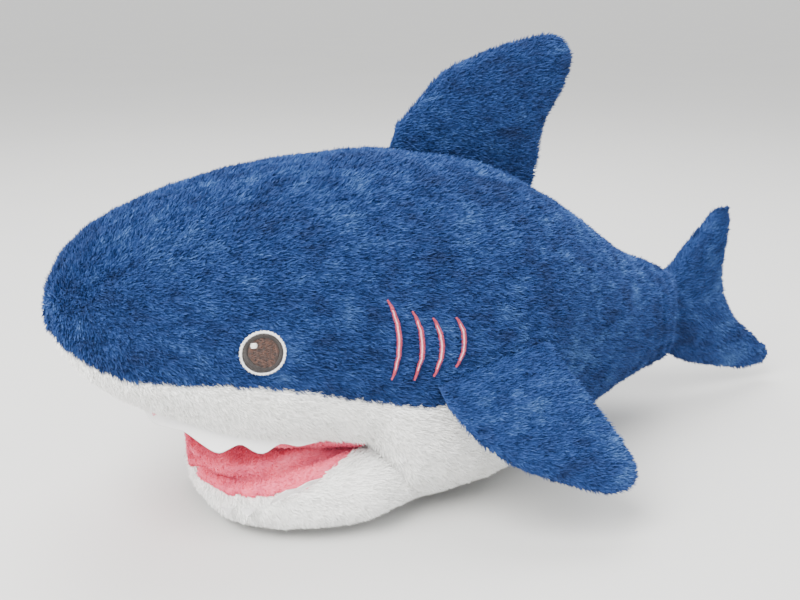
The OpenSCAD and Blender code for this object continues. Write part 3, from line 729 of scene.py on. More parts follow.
@dataclass
class Barber:
    """Sets and combs the pile of every skin.

    Args:
        bald: Spots with no pile: centre and radius in metres.
        stitched: Places along the lines of stitches, which have no pile either.
        line_reach: Half width of the bare line along them.
    """

    bald: list[tuple[Vector, float]]
    stitched: list[Vector]
    line_reach: float = 1.7 * MM

    def __post_init__(self) -> None:
        """Builds the strand, the node group and the search tree of the stitches once."""
        self.lines = KDTree(len(self.stitched))
        for index, spot in enumerate(self.stitched):
            self.lines.insert(spot, index)
        self.lines.balance()
        self.strand = strand_mesh()
        self.nodes = pile_nodes()

    def groom(
        self,
        bm: bmesh.types.BMesh,
        flow: Callable[[Vector, Vector], Vector],
        rise: Callable[[bmesh.types.BMVert], float],
    ) -> None:
        """Writes the comb, tone and rise of a skin as layers.

        Args:
            bm: The skin.
            flow: Gives the direction that the pile is brushed in, from a place and its normal.
            rise: Gives the share of the full pile length at a vertex.
        """
        bm.normal_update()
        comb = bm.verts.layers.float_vector.new("comb")
        tone = bm.verts.layers.float.new("tone")
        tall = bm.verts.layers.float.new("rise")
        for vert in bm.verts:
            along = flow(vert.co, vert.normal)
            along = along - vert.normal * along.dot(vert.normal)
            vert[comb] = along.normalized() * 0.95 if along.length > 1e-4 else Vector((0, 0, 0))
            # Painted sheen: broad patches and fine streaks that lighten or darken the pile's tone.
            patch = noise.noise(vert.co * 30.0) * 0.24 + noise.noise(vert.co * 85.0) * 0.30
            streak = noise.noise(Vector((vert.co.x * 210, vert.co.y * 80, vert.co.z * 210))) * 0.30
            vert[tone] = 0.42 + patch + streak
            share = rise(vert)
            away = self.lines.find(vert.co)[2] or 1.0
            share = min(share, max(0.0, (away - self.line_reach) / (0.8 * self.line_reach)))
            for spot, radius in self.bald:
                away = (vert.co - spot).length
                share = min(share, max(0.0, (away - radius) / (2.0 * MM)))
            vert[tall] = share

    def pile(
        self, skin: bmesh.types.BMesh, cloth: Cloth, name: str, length: float, gap: float, seed: int,
        keep: Callable[[bmesh.types.BMFace], bool] | None = None,
    ) -> bpy.types.Object:
        """Sets the pile of one cloth of a groomed skin.

        Args:
            skin: The groomed skin, which stays as it is.
            cloth: The cloth whose faces get pile.
            name: The new piece's name.
            length: Length of the strands, in metres.
            gap: Mean distance between strands, in metres.
            seed: Seed of the scatter.
            keep: Picks among the faces of that cloth.

        Returns:
            The pile.
        """
        bm = skin.copy()
        drop = [f for f in bm.faces if f.material_index != cloth.value or (keep and not keep(f))]
        bmesh.ops.delete(bm, geom=drop, context="FACES")
        obj = piece(bm, name, [])
        setter = obj.modifiers.new("Set pile", "NODES")
        setter.node_group = self.nodes
        values = {
            "Strand": self.strand,
            "Density": 1.0 / gap**2,
            "Length": length,
            "Width": max(gap * 0.85, 0.5 * MM),
            "Seed": seed,
        }
        for item in self.nodes.interface.items_tree:
            if item.item_type == "SOCKET" and item.in_out == "INPUT" and item.name in values:
                setter[item.identifier] = values[item.name]
        applied(obj)
        obj.data.materials.clear()
        obj.data.materials.append(PILES[cloth].material())
        for extra in ("comb", "tone", "rise", "skin_normal", "strand_tone", "along"):
            found = obj.data.attributes.get(extra)
            if found:
                obj.data.attributes.remove(found)
        LOG.info("%s: %d strands", name, len(obj.data.polygons) // 2)
        return obj


def chart_skin(obj: bpy.types.Object) -> None:
    """Gives a skin the map that its pile finish reads: its tone, at the root of the pile."""
    mesh = obj.data
    tone = np.zeros(len(mesh.vertices), np.float32)
    mesh.attributes["tone"].data.foreach_get("value", tone)
    corner = np.zeros(len(mesh.loops), np.int32)
    mesh.loops.foreach_get("vertex_index", corner)
    place = np.zeros((len(mesh.loops), 2), np.float32)
    place[:, 0] = np.clip(tone[corner], 0.02, 0.98)
    # The skin sits a quarter of the way up a strand, so it takes most of the painted root shade.
    place[:, 1] = 0.25
    chart = mesh.uv_layers.new(name="OFBake")
    chart.data.foreach_set("uv", place.ravel())
    for extra in ("comb", "tone", "rise"):
        mesh.attributes.remove(mesh.attributes[extra])


# ---- The shark's own facts, from the frame ----

JOINTS = {j["name"]: j for j in frame["joints"]}


def joint_place(name: str) -> Vector:
    """Point on a joint's axis."""
    return Vector(JOINTS[name]["pos_m"])


def joint_axis(name: str) -> Vector:
    """Direction of a joint's axis."""
    return Vector(JOINTS[name]["axis"]).normalized()


def both(name: str) -> list[str]:
    """The left and right CAD nodes of a name."""
    return [f"{name}_{side.word}" for side in Side]


class ClothMap:
    """Finds which cloth a spot of the skin is made of, from the CAD panel nearest to it."""

    def __init__(self, nodes: dict[Cloth, Sequence[str]]) -> None:
        """Builds a search tree for each cloth.

        Args:
            nodes: The CAD panels of each cloth.
        """
        self.trees: dict[Cloth, BVHTree] = {}
        for cloth, names in nodes.items():
            bm = merged(names)
            self.trees[cloth] = BVHTree.FromBMesh(bm)
            bm.free()

    def paint(self, bm: bmesh.types.BMesh) -> None:
        """Sets the material slot of every face of a skin."""
        for face in bm.faces:
            spot = face.calc_center_median()
            near = {c: t.find_nearest(spot)[3] or 1.0 for c, t in self.trees.items()}
            face.material_index = min(near, key=near.get).value


@dataclass
class Studio:
    """Floor, backdrop, lights and camera."""

    target: Vector
    eye: Vector
    lens: float = 45.0

    def floor(self) -> None:
        """Lays the pale floor that sweeps up into the backdrop."""
        bm = bmesh.new()
        line = [bm.verts.new((-90.0, -90.0, 0.0)), bm.verts.new((90.0, -90.0, 0.0))]
        edge = bm.edges.new(line)
        flat = bmesh.ops.extrude_edge_only(bm, edges=[edge])["geom"]
        for vert in (g for g in flat if isinstance(g, bmesh.types.BMVert)):
            vert.co.y = 90.0
        bm.normal_update()
        if bm.faces[:][0].normal.z < 0:
            bmesh.ops.reverse_faces(bm, faces=bm.faces[:])
        material = bpy.data.materials.new("Paper floor")
        material.use_nodes = True
        tree = material.node_tree
        shader = tree.nodes["Principled BSDF"]
        shader.inputs["Roughness"].default_value = 0.75
        place = tree.nodes.new("ShaderNodeTexCoord")
        grain = tree.nodes.new("ShaderNodeTexNoise")
        grain.inputs["Scale"].default_value = 3.0
        tree.links.new(place.outputs["Object"], grain.inputs["Vector"])
        tone = mixed(tree, grain.outputs["Fac"], (0.58, 0.58, 0.57), (0.61, 0.61, 0.60))
        tree.links.new(tone, shader.inputs["Base Color"])
        piece(bm, "floor", [material])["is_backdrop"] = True

    def light(self, name: str, at: Vector, size: float, power: float, colour: Colour) -> None:
        """Hangs one soft area light that points at the shark.

        Args:
            name: The light's name.
            at: Its place.
            size: Its width, in metres.
            power: Its power, in watts.
            colour: Its colour.
        """
        lamp = bpy.data.lights.new(name, "AREA")
        lamp.shape = "DISK"
        lamp.size = size
        lamp.energy = power
        lamp.color = colour
        obj = bpy.data.objects.new(name, lamp)
        obj.location = at
        obj.rotation_euler = (self.target - at).to_track_quat("-Z", "Y").to_euler()
        bpy.context.scene.collection.objects.link(obj)

    def build(self) -> None:
        """Sets up the whole studio."""
        self.floor()
        self.light("key", Vector((0.5, -0.9, 1.25)), 1.0, 56.0, (1.0, 0.985, 0.96))
        self.light("fill", Vector((1.2, 0.4, 1.2)), 1.2, 9.0, (0.95, 0.97, 1.0))
        self.light("top", Vector((-0.5, 0.2, 1.5)), 1.4, 30.0, (1.0, 1.0, 1.0))
        world = bpy.data.worlds.new("Studio")
        world.use_nodes = True
        world.node_tree.nodes["Background"].inputs[0].default_value = (0.93, 0.93, 0.93, 1.0)
        world.node_tree.nodes["Background"].inputs[1].default_value = 1.62
        bpy.context.scene.world = world
        camera = bpy.data.cameras.new("camera")
        camera.sensor_fit = "HORIZONTAL"
        camera.sensor_width = 36.0
        camera.lens = self.lens
        obj = bpy.data.objects.new("camera", camera)
        obj.location = self.eye
        obj.rotation_euler = (self.target - self.eye).to_track_quat("-Z", "Y").to_euler()
        bpy.context.scene.collection.objects.link(obj)
        bpy.context.scene.camera = obj


@dataclass
class PileSizes:
    """Lengths of the pile and the distances between its strands, in metres."""

    long: float = 3.7 * MM
    short: float = 1.4 * MM
    body_gap: float = 0.80 * MM
    fin_gap: float = 0.84 * MM
    lining_gap: float = 0.80 * MM
    sink: float = 1.5 * MM

    def __post_init__(self) -> None:
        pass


def dress(
    barber: Barber,
    skin: bmesh.types.BMesh,
    name: str,
    piles: Sequence[tuple[Cloth, str, float, float, Callable[[bmesh.types.BMFace], bool] | None]],
    ride: Callable[[bpy.types.Object], object],
    replaces: Sequence[str],
) -> bpy.types.Object:
    """Turns a groomed skin into its padded piece and its pile.

    Args:
        barber: Sets the pile.
        skin: The groomed skin, which is freed.
        name: The padded piece's name.
        piles: Cloth, name, length, gap and face test of each pile.
        ride: Puts a piece on its bodies.
        replaces: The CAD nodes that the padded piece stands for.

    Returns:
        The padded piece.
    """
    for k, (cloth, pile_name, length, gap, keep) in enumerate(piles):
        if not any(f.material_index == cloth.value and (keep is None or keep(f)) for f in skin.faces):
            continue
        pile = barber.pile(skin, cloth, pile_name, length, gap, 17 + 7 * k + len(pile_name), keep)
        ride(pile)
    obj = piece(skin, name, [PILES[c].material() for c in Cloth])
    chart_skin(obj)
    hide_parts(*replaces)
    ride(obj)
    LOG.info("%s: %d faces", name, len(obj.data.polygons))
    return obj


@dataclass
class Hull:
    """Trunk, tail stalk and tail fin: one stuffed skin, cut where the tail's covers start."""

    sizes: PileSizes
    voxel: float = 2.4 * MM

    TRUNK = [*both("back_panel"), *both("muzzle"), "belly_panel", "palate_lining", "trunk_stuffing"]
    STALK = [*both("tail_panel"), "tail_stuffing"]
    FIN = [*both("tail_fin_panel"), "tail_fin_stuffing"]

    def __post_init__(self) -> None:
        """Builds the closed skin, still whole."""
        self.swing = joint_place("tail_swing")
        self.flick = joint_place("tail_fin_swing")
        self.front_cut = self.swing.y - 45.0 * MM
        self.rear_cut = (self.swing.y + self.flick.y) / 2
        fin_low, fin_high = box_of(*both("tail_fin_panel"))
        self.fin_middle = (fin_low.z + fin_high.z) / 2
        solid = merged([*self.TRUNK, *self.STALK, *self.FIN])
        ends = [v.co.z for v in merged(both("tail_panel")).verts if v.co.y > self.flick.y - 16.0 * MM]
        low, high = min(ends), max(ends)
        swing, flick = self.swing.y, self.flick.y
        bridge_gap(solid, lambda p: swing - 36.0 * MM < p.y < swing + 14.0 * MM)
        bridge_gap(solid, lambda p: flick - 22.0 * MM < p.y < flick + 8.0 * MM and low <= p.z <= high)
        self.skin = remeshed(solid, self.voxel, 4)
        smooth_where(self.skin, lambda p: swing - 42.0 * MM < p.y < swing + 22.0 * MM, 24)
        smooth_where(self.skin, lambda p: flick - 26.0 * MM < p.y < flick + 14.0 * MM, 12)
        self.cloths = ClothMap(
            {
                Cloth.BLUE: [*both("back_panel"), *both("tail_panel"), *both("tail_fin_panel")],
                Cloth.WHITE: [*both("muzzle"), "belly_panel"],
                Cloth.PINK: ["palate_lining"],
            }
        )
        self.cloths.paint(self.skin)
        self.lip = self.lip_edge()
        rumple(self.skin, self.sizes.sink, 1.6 * MM, 0.5 * MM, 3.0)
        plump(self.skin, Cloth.PINK, self.sizes.sink + 0.4 * MM)
        self.wrinkle()
        self.seam()
        self.skin.normal_update()
        self.tree = BVHTree.FromBMesh(self.skin)

    def lip_edge(self) -> list[Vector]:
        """Places along the left upper lip, where the muzzle meets the palate, front to rear."""
        found = []
        for edge in self.skin.edges:
            kinds = {f.material_index for f in edge.link_faces}
            if kinds == {Cloth.WHITE.value, Cloth.PINK.value}:
                middle = (edge.verts[0].co + edge.verts[1].co) / 2
                if middle.x > 0 and middle.y < joint_place("jaw_hinge").y - 4.0 * MM:
                    found.append(middle)
        found.sort(key=lambda p: p.y)
        line = []
        for k in range(0, len(found) - 6, 3):
            line.append(sum(found[k : k + 6], Vector()) / 6)
        return line

    def wrinkle(self) -> None:
        """Gathers the cloth in rings where the stalk meets the tail fin."""
        self.skin.normal_update()
        for vert in self.skin.verts:
            back = vert.co.y - (self.flick.y - 36.0 * MM)
            if -12.0 * MM < back < 52.0 * MM:
                fade = max(0.0, 1.0 - abs(back - 18.0 * MM) / (32.0 * MM))
                wave = math.sin(back * 620.0 + 2.2 * noise.noise(vert.co * 38.0))
                vert.co += vert.normal * (1.3 * MM * wave * fade)

    def seam(self) -> None:
        """Sinks the seams: down the middle of the back, and between the cloths."""
        moves: dict[bmesh.types.BMVert, float] = {}
        for vert in self.skin.verts:
            if abs(vert.co.x) < 4.0 * MM and (vert.normal.z > 0.2 or vert.normal.y < -0.4):
                moves[vert] = 1.3 * MM * (1.0 - abs(vert.co.x) / (4.0 * MM))
        for edge in self.skin.edges:
            if len({face.material_index for face in edge.link_faces}) == 2:
                for vert in edge.verts:
                    moves[vert] = max(moves.get(vert, 0.0), 1.1 * MM)
        for vert, depth in moves.items():
            vert.co -= vert.normal * depth

    @staticmethod
    def flow(at: Vector, normal: Vector) -> Vector:
        """Pile lies towards the tail and a little down."""
        return Vector((0.0, 1.0, -0.22))

    def fin_flow(self, at: Vector, normal: Vector) -> Vector:
        """Pile on the tail fin lies back and out to its nearer tip."""
        share = min(max((at.y - self.flick.y) / (40.0 * MM), 0.0), 1.0)
        return Vector((0.0, 1.0, share * (0.9 if at.z > self.fin_middle else -0.9)))

    @staticmethod
    def rise(vert: bmesh.types.BMVert) -> float:
        """Pile is pressed flat where the shark lies on it."""
        return min(1.0, 0.12 + max(0.0, vert.co.z - 2.0 * MM) / (9.0 * MM))

    def off_cut(self, *cuts: float) -> Callable[[bmesh.types.BMFace], bool]:
        """Returns a test that drops the faces that close a cut."""
        return lambda face: not any(all(abs(v.co.y - c) < 0.02 * MM for v in face.verts) for c in cuts)

    def build(self, barber: Barber) -> None:
        """Cuts, grooms and dresses the trunk and both covers of the tail."""
        ahead, behind = Vector((0, 1, 0)), Vector((0, -1, 0))
        front, rear = Vector((0, self.front_cut, 0)), Vector((0, self.rear_cut, 0))
        trunk = cut_piece(self.skin, front, ahead)
        barber.groom(trunk, self.flow, self.rise)
        off = self.off_cut(self.front_cut)
        long, short, gap = self.sizes.long, self.sizes.short, self.sizes.body_gap
        neck = joint_place("jaw_hinge").y
        shoulder = neck + 4.0 * MM
        dress(
            barber, trunk, "body_skin",
            [
                *(
                    (Cloth.BLUE, f"{place}_pile_{side.word}", long, gap,
                     lambda f, s=side.value, w=way: off(f) and f.calc_center_median().x * s >= 0
                     and (f.calc_center_median().y - shoulder) * w > 0)
                    for side in Side for place, way in (("head", -1), ("flank", 1))
                ),
                (Cloth.WHITE, "muzzle_pile", long * 0.95, gap,
                 lambda f: off(f) and f.calc_center_median().y < neck),
                (Cloth.WHITE, "belly_pile", long * 0.95, gap,
                 lambda f: off(f) and f.calc_center_median().y >= neck),
                (Cloth.PINK, "palate_pile", short, self.sizes.lining_gap, off),
            ],
            lambda o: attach(o, "trunk"), self.TRUNK,
        )
        stalk_whole = cut_piece(self.skin, rear, ahead)
        stalk = cut_piece(stalk_whole, front, behind)
        stalk_whole.free()
        barber.groom(stalk, self.flow, self.rise)
        off_both = self.off_cut(self.front_cut, self.rear_cut)
        dress(
            barber, stalk, "stalk_skin",
            [
                (Cloth.BLUE, "stalk_pile", long, gap, off_both),
                (Cloth.WHITE, "stalk_pile_white", long * 0.95, gap, off_both),
            ],
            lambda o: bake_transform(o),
            self.STALK,
        )
        fin = cut_piece(self.skin, rear, behind)
        barber.groom(fin, self.fin_flow, self.rise)
        off_rear = self.off_cut(self.rear_cut)
        dress(
            barber, fin, "tail_fin_skin",
            [
                (Cloth.BLUE, "tail_fin_pile_left", long * 0.9, self.sizes.fin_gap,
                 lambda f: off_rear(f) and f.calc_center_median().x >= 0),
                (Cloth.BLUE, "tail_fin_pile_right", long * 0.9, self.sizes.fin_gap,
                 lambda f: off_rear(f) and f.calc_center_median().x < 0),
            ],
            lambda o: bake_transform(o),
            self.FIN,
        )


@dataclass
class Jaw:
    """Lower jaw, with the throat that folds behind it."""

    sizes: PileSizes
    throat: float = 46.0 * MM
    voxel: float = 2.2 * MM
    # The fold of the lining: half width, reach ahead of the hinge, squareness, height and rise
    fold_side: float = 55.5 * MM
    fold_front: float = 83.0 * MM
    fold_power: float = 3.3
    fold_low: float = 35.5 * MM
    fold_rise: float = 0.22
    # The white of the lip: its stretch ahead of the hinge, and how it climbs to the corner of the mouth
    lip_front: float = 58.0 * MM
    lip_base: float = 32.5 * MM
    lip_corner: float = 7.0 * MM
    lip_climb: float = 0.6

    NODES = ["jaw_panel", "jaw_lining", "jaw_stuffing"]
    def whiten(self, skin: bmesh.types.BMesh, hinge: Vector) -> None:
        """Paints the lip that climbs to the corner of the mouth white.

        Args:
            skin: The jaw's skin, with its cloths painted.
            hinge: Where the jaw turns.
        """
        for face in skin.faces:
            at = face.calc_center_median()
            ahead = hinge.y - at.y
            if face.material_index == Cloth.PINK.value and ahead < self.lip_front:
                if abs(at.x) - at.z > min(self.lip_base, self.lip_corner + self.lip_climb * ahead):
                    face.material_index = Cloth.WHITE.value

    def fold(self, skin: bmesh.types.BMesh, hinge: Vector) -> None:
        """Folds the lining: a full roll above a deep crease.

        Args:
            skin: The jaw's skin.
            hinge: Where the jaw turns.
        """
        skin.normal_update()
        spots = [
            Vector((side, hinge.y - ahead, self.fold_low + self.fold_rise * (self.fold_front - ahead)))
            for side, ahead in rounded(self.fold_side, self.fold_front, self.fold_power, 96)
        ]
        moves = {}
        for vert in skin.verts:
            if any(f.material_index == Cloth.PINK.value for f in vert.link_faces):
                here = Vector((abs(vert.co.x), vert.co.y, vert.co.z))
                near = min(spots, key=lambda p: (p - here).length_squared)
                far = max(0.0, (here - near).length - 1.5 * MM)
                crease = math.exp(-((far / (2.6 * MM)) ** 2))
                roll = math.exp(-(((far - 6.0 * MM) / (4.5 * MM)) ** 2)) if here.z > near.z else 0.0
                moves[vert] = vert.normal * (3.2 * MM * roll - 6.5 * MM * crease)
                moves[vert].z -= 2.0 * MM * roll
        for vert, move in moves.items():
            vert.co += move

    def build(self, barber: Barber) -> BVHTree:
        """Builds the jaw and its pile.

        Returns:
            A search tree of the jaw's skin, for the teeth.
        """
        hinge = joint_place("jaw_hinge")
        skin = remeshed(merged(self.NODES), self.voxel, 4)
        skin.normal_update()
        rear = max(v.co.y for v in skin.verts)
        back = [f for f in skin.faces if f.normal.y > 0.75 and f.calc_center_median().y > rear - 3.0 * MM]
        grown = bmesh.ops.extrude_face_region(skin, geom=back)["geom"]
        verts = [g for g in grown if isinstance(g, bmesh.types.BMVert)]
        bmesh.ops.delete(skin, geom=back, context="FACES")
        for vert in verts:
            vert.co.x *= 0.80
            vert.co.z *= 0.92
        bmesh.ops.translate(skin, verts=verts, vec=(0, self.throat, 0))
        ring = [e for e in skin.edges if abs(e.verts[0].co.y - e.verts[1].co.y) > self.throat * 0.6]
        bmesh.ops.subdivide_edges(skin, edges=ring, cuts=16, use_grid_fill=True)
        bmesh.ops.triangulate(skin, faces=[f for f in skin.faces if len(f.verts) > 4])
        smooth_where(skin, lambda p: p.y > rear - 10.0 * MM, 12)
        ClothMap({Cloth.WHITE: ["jaw_panel"], Cloth.PINK: ["jaw_lining"]}).paint(skin)
        self.whiten(skin, hinge)
        rumple(skin, self.sizes.sink * 0.8, 1.2 * MM, 0.4 * MM, 11.0)
        plump(skin, Cloth.PINK, self.sizes.sink + 0.5 * MM)
        self.fold(skin, hinge)
        skin.normal_update()
        tree = BVHTree.FromBMesh(skin)
        barber.groom(skin, Hull.flow, Hull.rise)
        dress(
            barber, skin, "jaw_skin",
            [
                (Cloth.WHITE, "jaw_pile", self.sizes.long * 0.95, self.sizes.body_gap, None),
                (Cloth.PINK, "tongue_pile", self.sizes.short, self.sizes.lining_gap, None),
            ],
            lambda o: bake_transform(o), self.NODES,
        )
        return tree


@dataclass
class Fin:
    """A flat stuffed fin on a soft root.

    Args:
        sizes: Lengths of the pile.
        name: The fin's name.
        body: Its CAD body; not used.
        joint: Its joint with the trunk.
        nodes: The CAD nodes it stands for.
        out: Direction from the root to the tip.
        sink: Depth that the root reaches into the body, as a factor on the seam's depth.
        seed: Moves its lumps.
    """

    sizes: PileSizes
    name: str
    body: str
    joint: str
    nodes: Sequence[str]
    out: Vector
    sink: float
    seed: float
    voxel: float = 2.0 * MM

    def build(self, barber: Barber) -> None:
        """Builds the fin and its pile."""
        root, axis = joint_place(self.joint), joint_axis(self.joint)
        if axis.y < 0:
            axis = -axis
        up = (self.out - axis * self.out.dot(axis)).normalized()
        skin = remeshed(merged(self.nodes), self.voxel, 3)
        for vert in skin.verts:
            height = (vert.co - root).dot(up)
            if height < 0:
                vert.co += up * (height * self.sink)
        rumple(skin, self.sizes.sink, 1.2 * MM, 0.5 * MM, self.seed)
        skin.normal_update()
        for face in skin.faces:
            face.material_index = Cloth.BLUE.value
        side = axis.cross(up)
        barber.groom(skin, lambda p, n: axis + up * 0.55, Hull.rise)
        piles = []
        for word, sign in (("top", 1), ("under", -1)):
            piles.append(
                (Cloth.BLUE, f"{self.name}_pile_{word}", self.sizes.long * 0.9, self.sizes.fin_gap,
                 lambda f, s=sign: (f.calc_center_median() - root).dot(side) * s > 0)
            )
        dress(
            barber, skin, f"{self.name}_skin", piles,
            lambda o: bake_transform(o),
            self.nodes,
        )


# ---- Embroidery and felt ----


def stitch(
    bm: bmesh.types.BMesh, a: Vector, b: Vector, normal: Vector, width: float, height: float
) -> None:
    """Lays one thread from a to b on a surface.

    Args:
        bm: The mesh that takes the thread.
        a: One end.
        b: The other end.
        normal: The surface's outward normal.
        width: The thread's width.
        height: Its height over the surface.
    """
    along = b - a
    length = along.length
    if length < 1e-6:
        return
    x = along / length
    y = normal.cross(x).normalized()
    z = x.cross(y)
    basis = Matrix((x, y, z)).transposed().to_4x4()
    scale = Matrix.Diagonal((length / 2, width / 2, height, 1.0))
    bmesh.ops.create_uvsphere(
        bm, u_segments=6, v_segments=6, radius=1.0,
        matrix=Matrix.Translation((a + b) / 2) @ basis @ scale @ Matrix.Rotation(math.pi / 2, 4, "Y"),
    )


@dataclass
class Eye:
    """Embroidered eye: a white ring, a black rim, a mottled brown iris and a glint."""

    side: Side
    surface: BVHTree
    lift: float = 1.0 * MM

    def spot(self, y: float, z: float) -> tuple[Vector, Vector]:
        """Point and normal of the flank straight in from the side."""
        sign = self.side.value
        at, normal, _, _ = self.surface.ray_cast(Vector((0.2 * sign, y, z)), Vector((-sign, 0, 0)))
        return at + normal * self.lift, normal

    def thread(self, bm: bmesh.types.BMesh, a: tuple[float, float], b: tuple[float, float], width: float,
               height: float, lift: float = 0.0) -> None:
        """Lays one thread between two places of the flank."""
        (p, n), (q, m) = self.spot(*a), self.spot(*b)
        normal = (n + m).normalized()
        stitch(bm, p + normal * lift, q + normal * lift, normal, width, height)

    def ring(self, name: str, finish: ThreadFinish, r_in: float, r_out: float, heavy: float, count: int,
             lift: float) -> bpy.types.Object:
        """Builds a ring of satin stitches.

        Args:
            name: The piece's name.
            finish: Its thread.
            r_in: Inner radius.
            r_out: Outer radius.
            heavy: How much wider the ring grows inwards on its lower front side.
            count: Number of stitches.
            lift: Height over the ring below.

        Returns:
            The ring.
        """
        bm = bmesh.new()
        for k in range(count):
            turn = 2 * math.pi * k / count
            inner = r_in - heavy * max(0.0, math.cos(turn - 1.25 * math.pi)) ** 2
            lean = 0.05
            c, s = math.cos(turn), math.sin(turn)
            c2, s2 = math.cos(turn + lean), math.sin(turn + lean)
            wobble = 1.0 + 0.02 * math.sin(k * 2.4)
            outer = r_out * wobble
            self.thread(
                bm, (self.y + inner * c, self.z + inner * s), (self.y + outer * c2, self.z + outer * s2),
                2 * math.pi * r_out / count * 1.25, 0.55 * MM, lift,
            )
        return piece(bm, name, [finish.material()])

    def fill(self, name: str, finish: ThreadFinish, y: float, z: float, r: float, row: float, lift: float
             ) -> bpy.types.Object:
        """Fills a disc with rows of short stitches.

        Args:
            name: The piece's name.
            finish: Its thread.
            y: Centre along the flank.
            z: Height of the centre.
            r: Radius.
            row: Distance between rows.
            lift: Height over what is below.

        Returns:
            The filled disc.
        """
        bm = bmesh.new()
        steps = int(2 * r / row)
        for k in range(steps + 1):
            v = -r + 2 * r * k / steps
            half = math.sqrt(max(r * r - v * v, 0.0))
            if half < row:
                continue
            parts = max(1, round(2 * half / (3.4 * MM)))
            shift = 0.35 * (k % 2)
            cuts = [-half + 2 * half * (i + shift * (0 < i < parts)) / parts for i in range(parts + 1)]
            over = row * 0.3
            for u0, u1 in zip(cuts, cuts[1:]):
                ends = (y + u0 - over, z + v), (y + u1 + over, z + v)
                self.thread(bm, *ends, row * 1.35, 0.45 * MM, lift)
        return piece(bm, name, [finish.material()])

    def build(self) -> None:
        """Builds the four pieces of the eye."""
        word = self.side.word
        low, high = box_of(f"eye_white_{word}")
        self.y, self.z = (low.y + high.y) / 2, (low.z + high.z) / 2
        r_white, r_rim, r_iris, r_glint = (
            (box_of(f"eye_{part}_{word}")[1].z - box_of(f"eye_{part}_{word}")[0].z) / 2
            for part in ("white", "rim", "iris", "glint")
        )
        glint_low, glint_high = box_of(f"eye_glint_{word}")
        glint = (glint_low + glint_high) / 2
        row = 0.6 * MM
        made = [
            (self.fill(f"eye_iris_stitches_{word}", EYE_BROWN, self.y, self.z, r_iris - 0.1 * MM, row, 0.0),
             "iris", "eye_brown_thread"),
            (self.ring(
                f"eye_rim_stitches_{word}", EYE_BLACK,
                r_iris - 0.7 * MM, r_rim + 0.1 * MM, 1.3 * MM, 84, 0.4 * MM,
            ), "rim", "eye_black_thread"),
            (self.ring(
                f"eye_white_stitches_{word}", EYE_WHITE, r_rim - 0.2 * MM, r_white, 0.0, 96, 0.3 * MM,
            ), "white", "eye_white_thread"),
            (self.fill(f"eye_glint_stitches_{word}", EYE_WHITE, glint.y, glint.z, r_glint, row, 0.6 * MM),
             "glint", "eye_white_thread"),
        ]
        for obj, node, slot in made:
            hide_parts(f"eye_{node}_{word}")
            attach(obj, "trunk")
            LOG.info("%s: %d faces", obj.name, len(obj.data.polygons))


@dataclass
class Gills:
    """Four arcs of satin stitch on one flank, with a painted highlight down the front of each: a lifted row
    of lighter pink stitches.
    """

    side: Side
    surface: BVHTree
    pitch: float = 0.75 * MM

    def arcs(self) -> list[list[Vector]]:
        """Middle line of each arc, from the CAD stitches."""
        bm = merged([f"gill_stitches_{self.side.word}"])
        lines = []
        left = set(bm.verts)
        while left:
            stack, part = [left.pop()], []
            while stack:
                vert = stack.pop()
                part.append(vert.co.copy())
                for edge in vert.link_edges:
                    other = edge.other_vert(vert)
                    if other in left:
                        left.remove(other)
                        stack.append(other)
            low, high = min(p.z for p in part), max(p.z for p in part)
            line = []
            for k in range(15):
                z = low + (high - low) * k / 14
                near = [p for p in part if abs(p.z - z) < (high - low) / 20]
                near = near or [min(part, key=lambda p: abs(p.z - z))]
                mean = sum(near, Vector()) / len(near)
                line.append(Vector((mean.x, mean.y, z)))
            lines.append(line)
        bm.free()
        return sorted(lines, key=lambda a: a[0].y)

    def on_skin(self, at: Vector) -> tuple[Vector, Vector]:
        """Nearest point of the skin, lifted off it, and its normal."""
        spot, normal, _, _ = self.surface.find_nearest(at)
        return spot + normal * 1.5 * MM, normal

    def build(self) -> list[Vector]:
        """Builds the stitches.

        Returns:
            Places along the arcs, for the pile to stay clear of.
        """
        word = self.side.word
        red, pink = bmesh.new(), bmesh.new()
        spots: list[Vector] = []
        for line in self.arcs():
            length = sum((b - a).length for a, b in zip(line, line[1:]))
            count = int(length / self.pitch)
            for k in range(count + 1):
                u = k / count
                i = min(int(u * 14), 13)
                at = line[i].lerp(line[i + 1], u * 14 - i)
                along = (line[i + 1] - line[i]).normalized()
                mid, normal = self.on_skin(at)
                across = normal.cross(along).normalized()
                half = 1.75 * MM * math.sqrt(max(1.0 - (2 * u - 1) ** 2, 0.05))
                lean = along * 0.5 * MM
                reach = across * half
                stitch(red, mid - reach - lean, mid + reach + lean, normal, self.pitch * 1.5, 0.9 * MM)
                # Painted highlight: a short lighter pink stitch lifted over the front of each red one.
                if 0.12 < u < 0.88:
                    edge = mid + across * half * 0.25 * self.side.value + normal * 0.45 * MM
                    reach *= 0.34
                    stitch(pink, edge - reach, edge + reach, normal, self.pitch * 1.2, 0.55 * MM)
                spots.append(mid)
        for bm, name, finish in ((red, "gill_satin", GILL_RED), (pink, "gill_highlight", GILL_PAINTED_HIGHLIGHT)):
            obj = piece(bm, f"{name}_{word}", [finish.material()])
            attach(obj, "trunk")
            if name == "gill_satin":
                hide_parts(f"gill_stitches_{word}")
            LOG.info("%s: %d faces", obj.name, len(obj.data.polygons))
        return spots


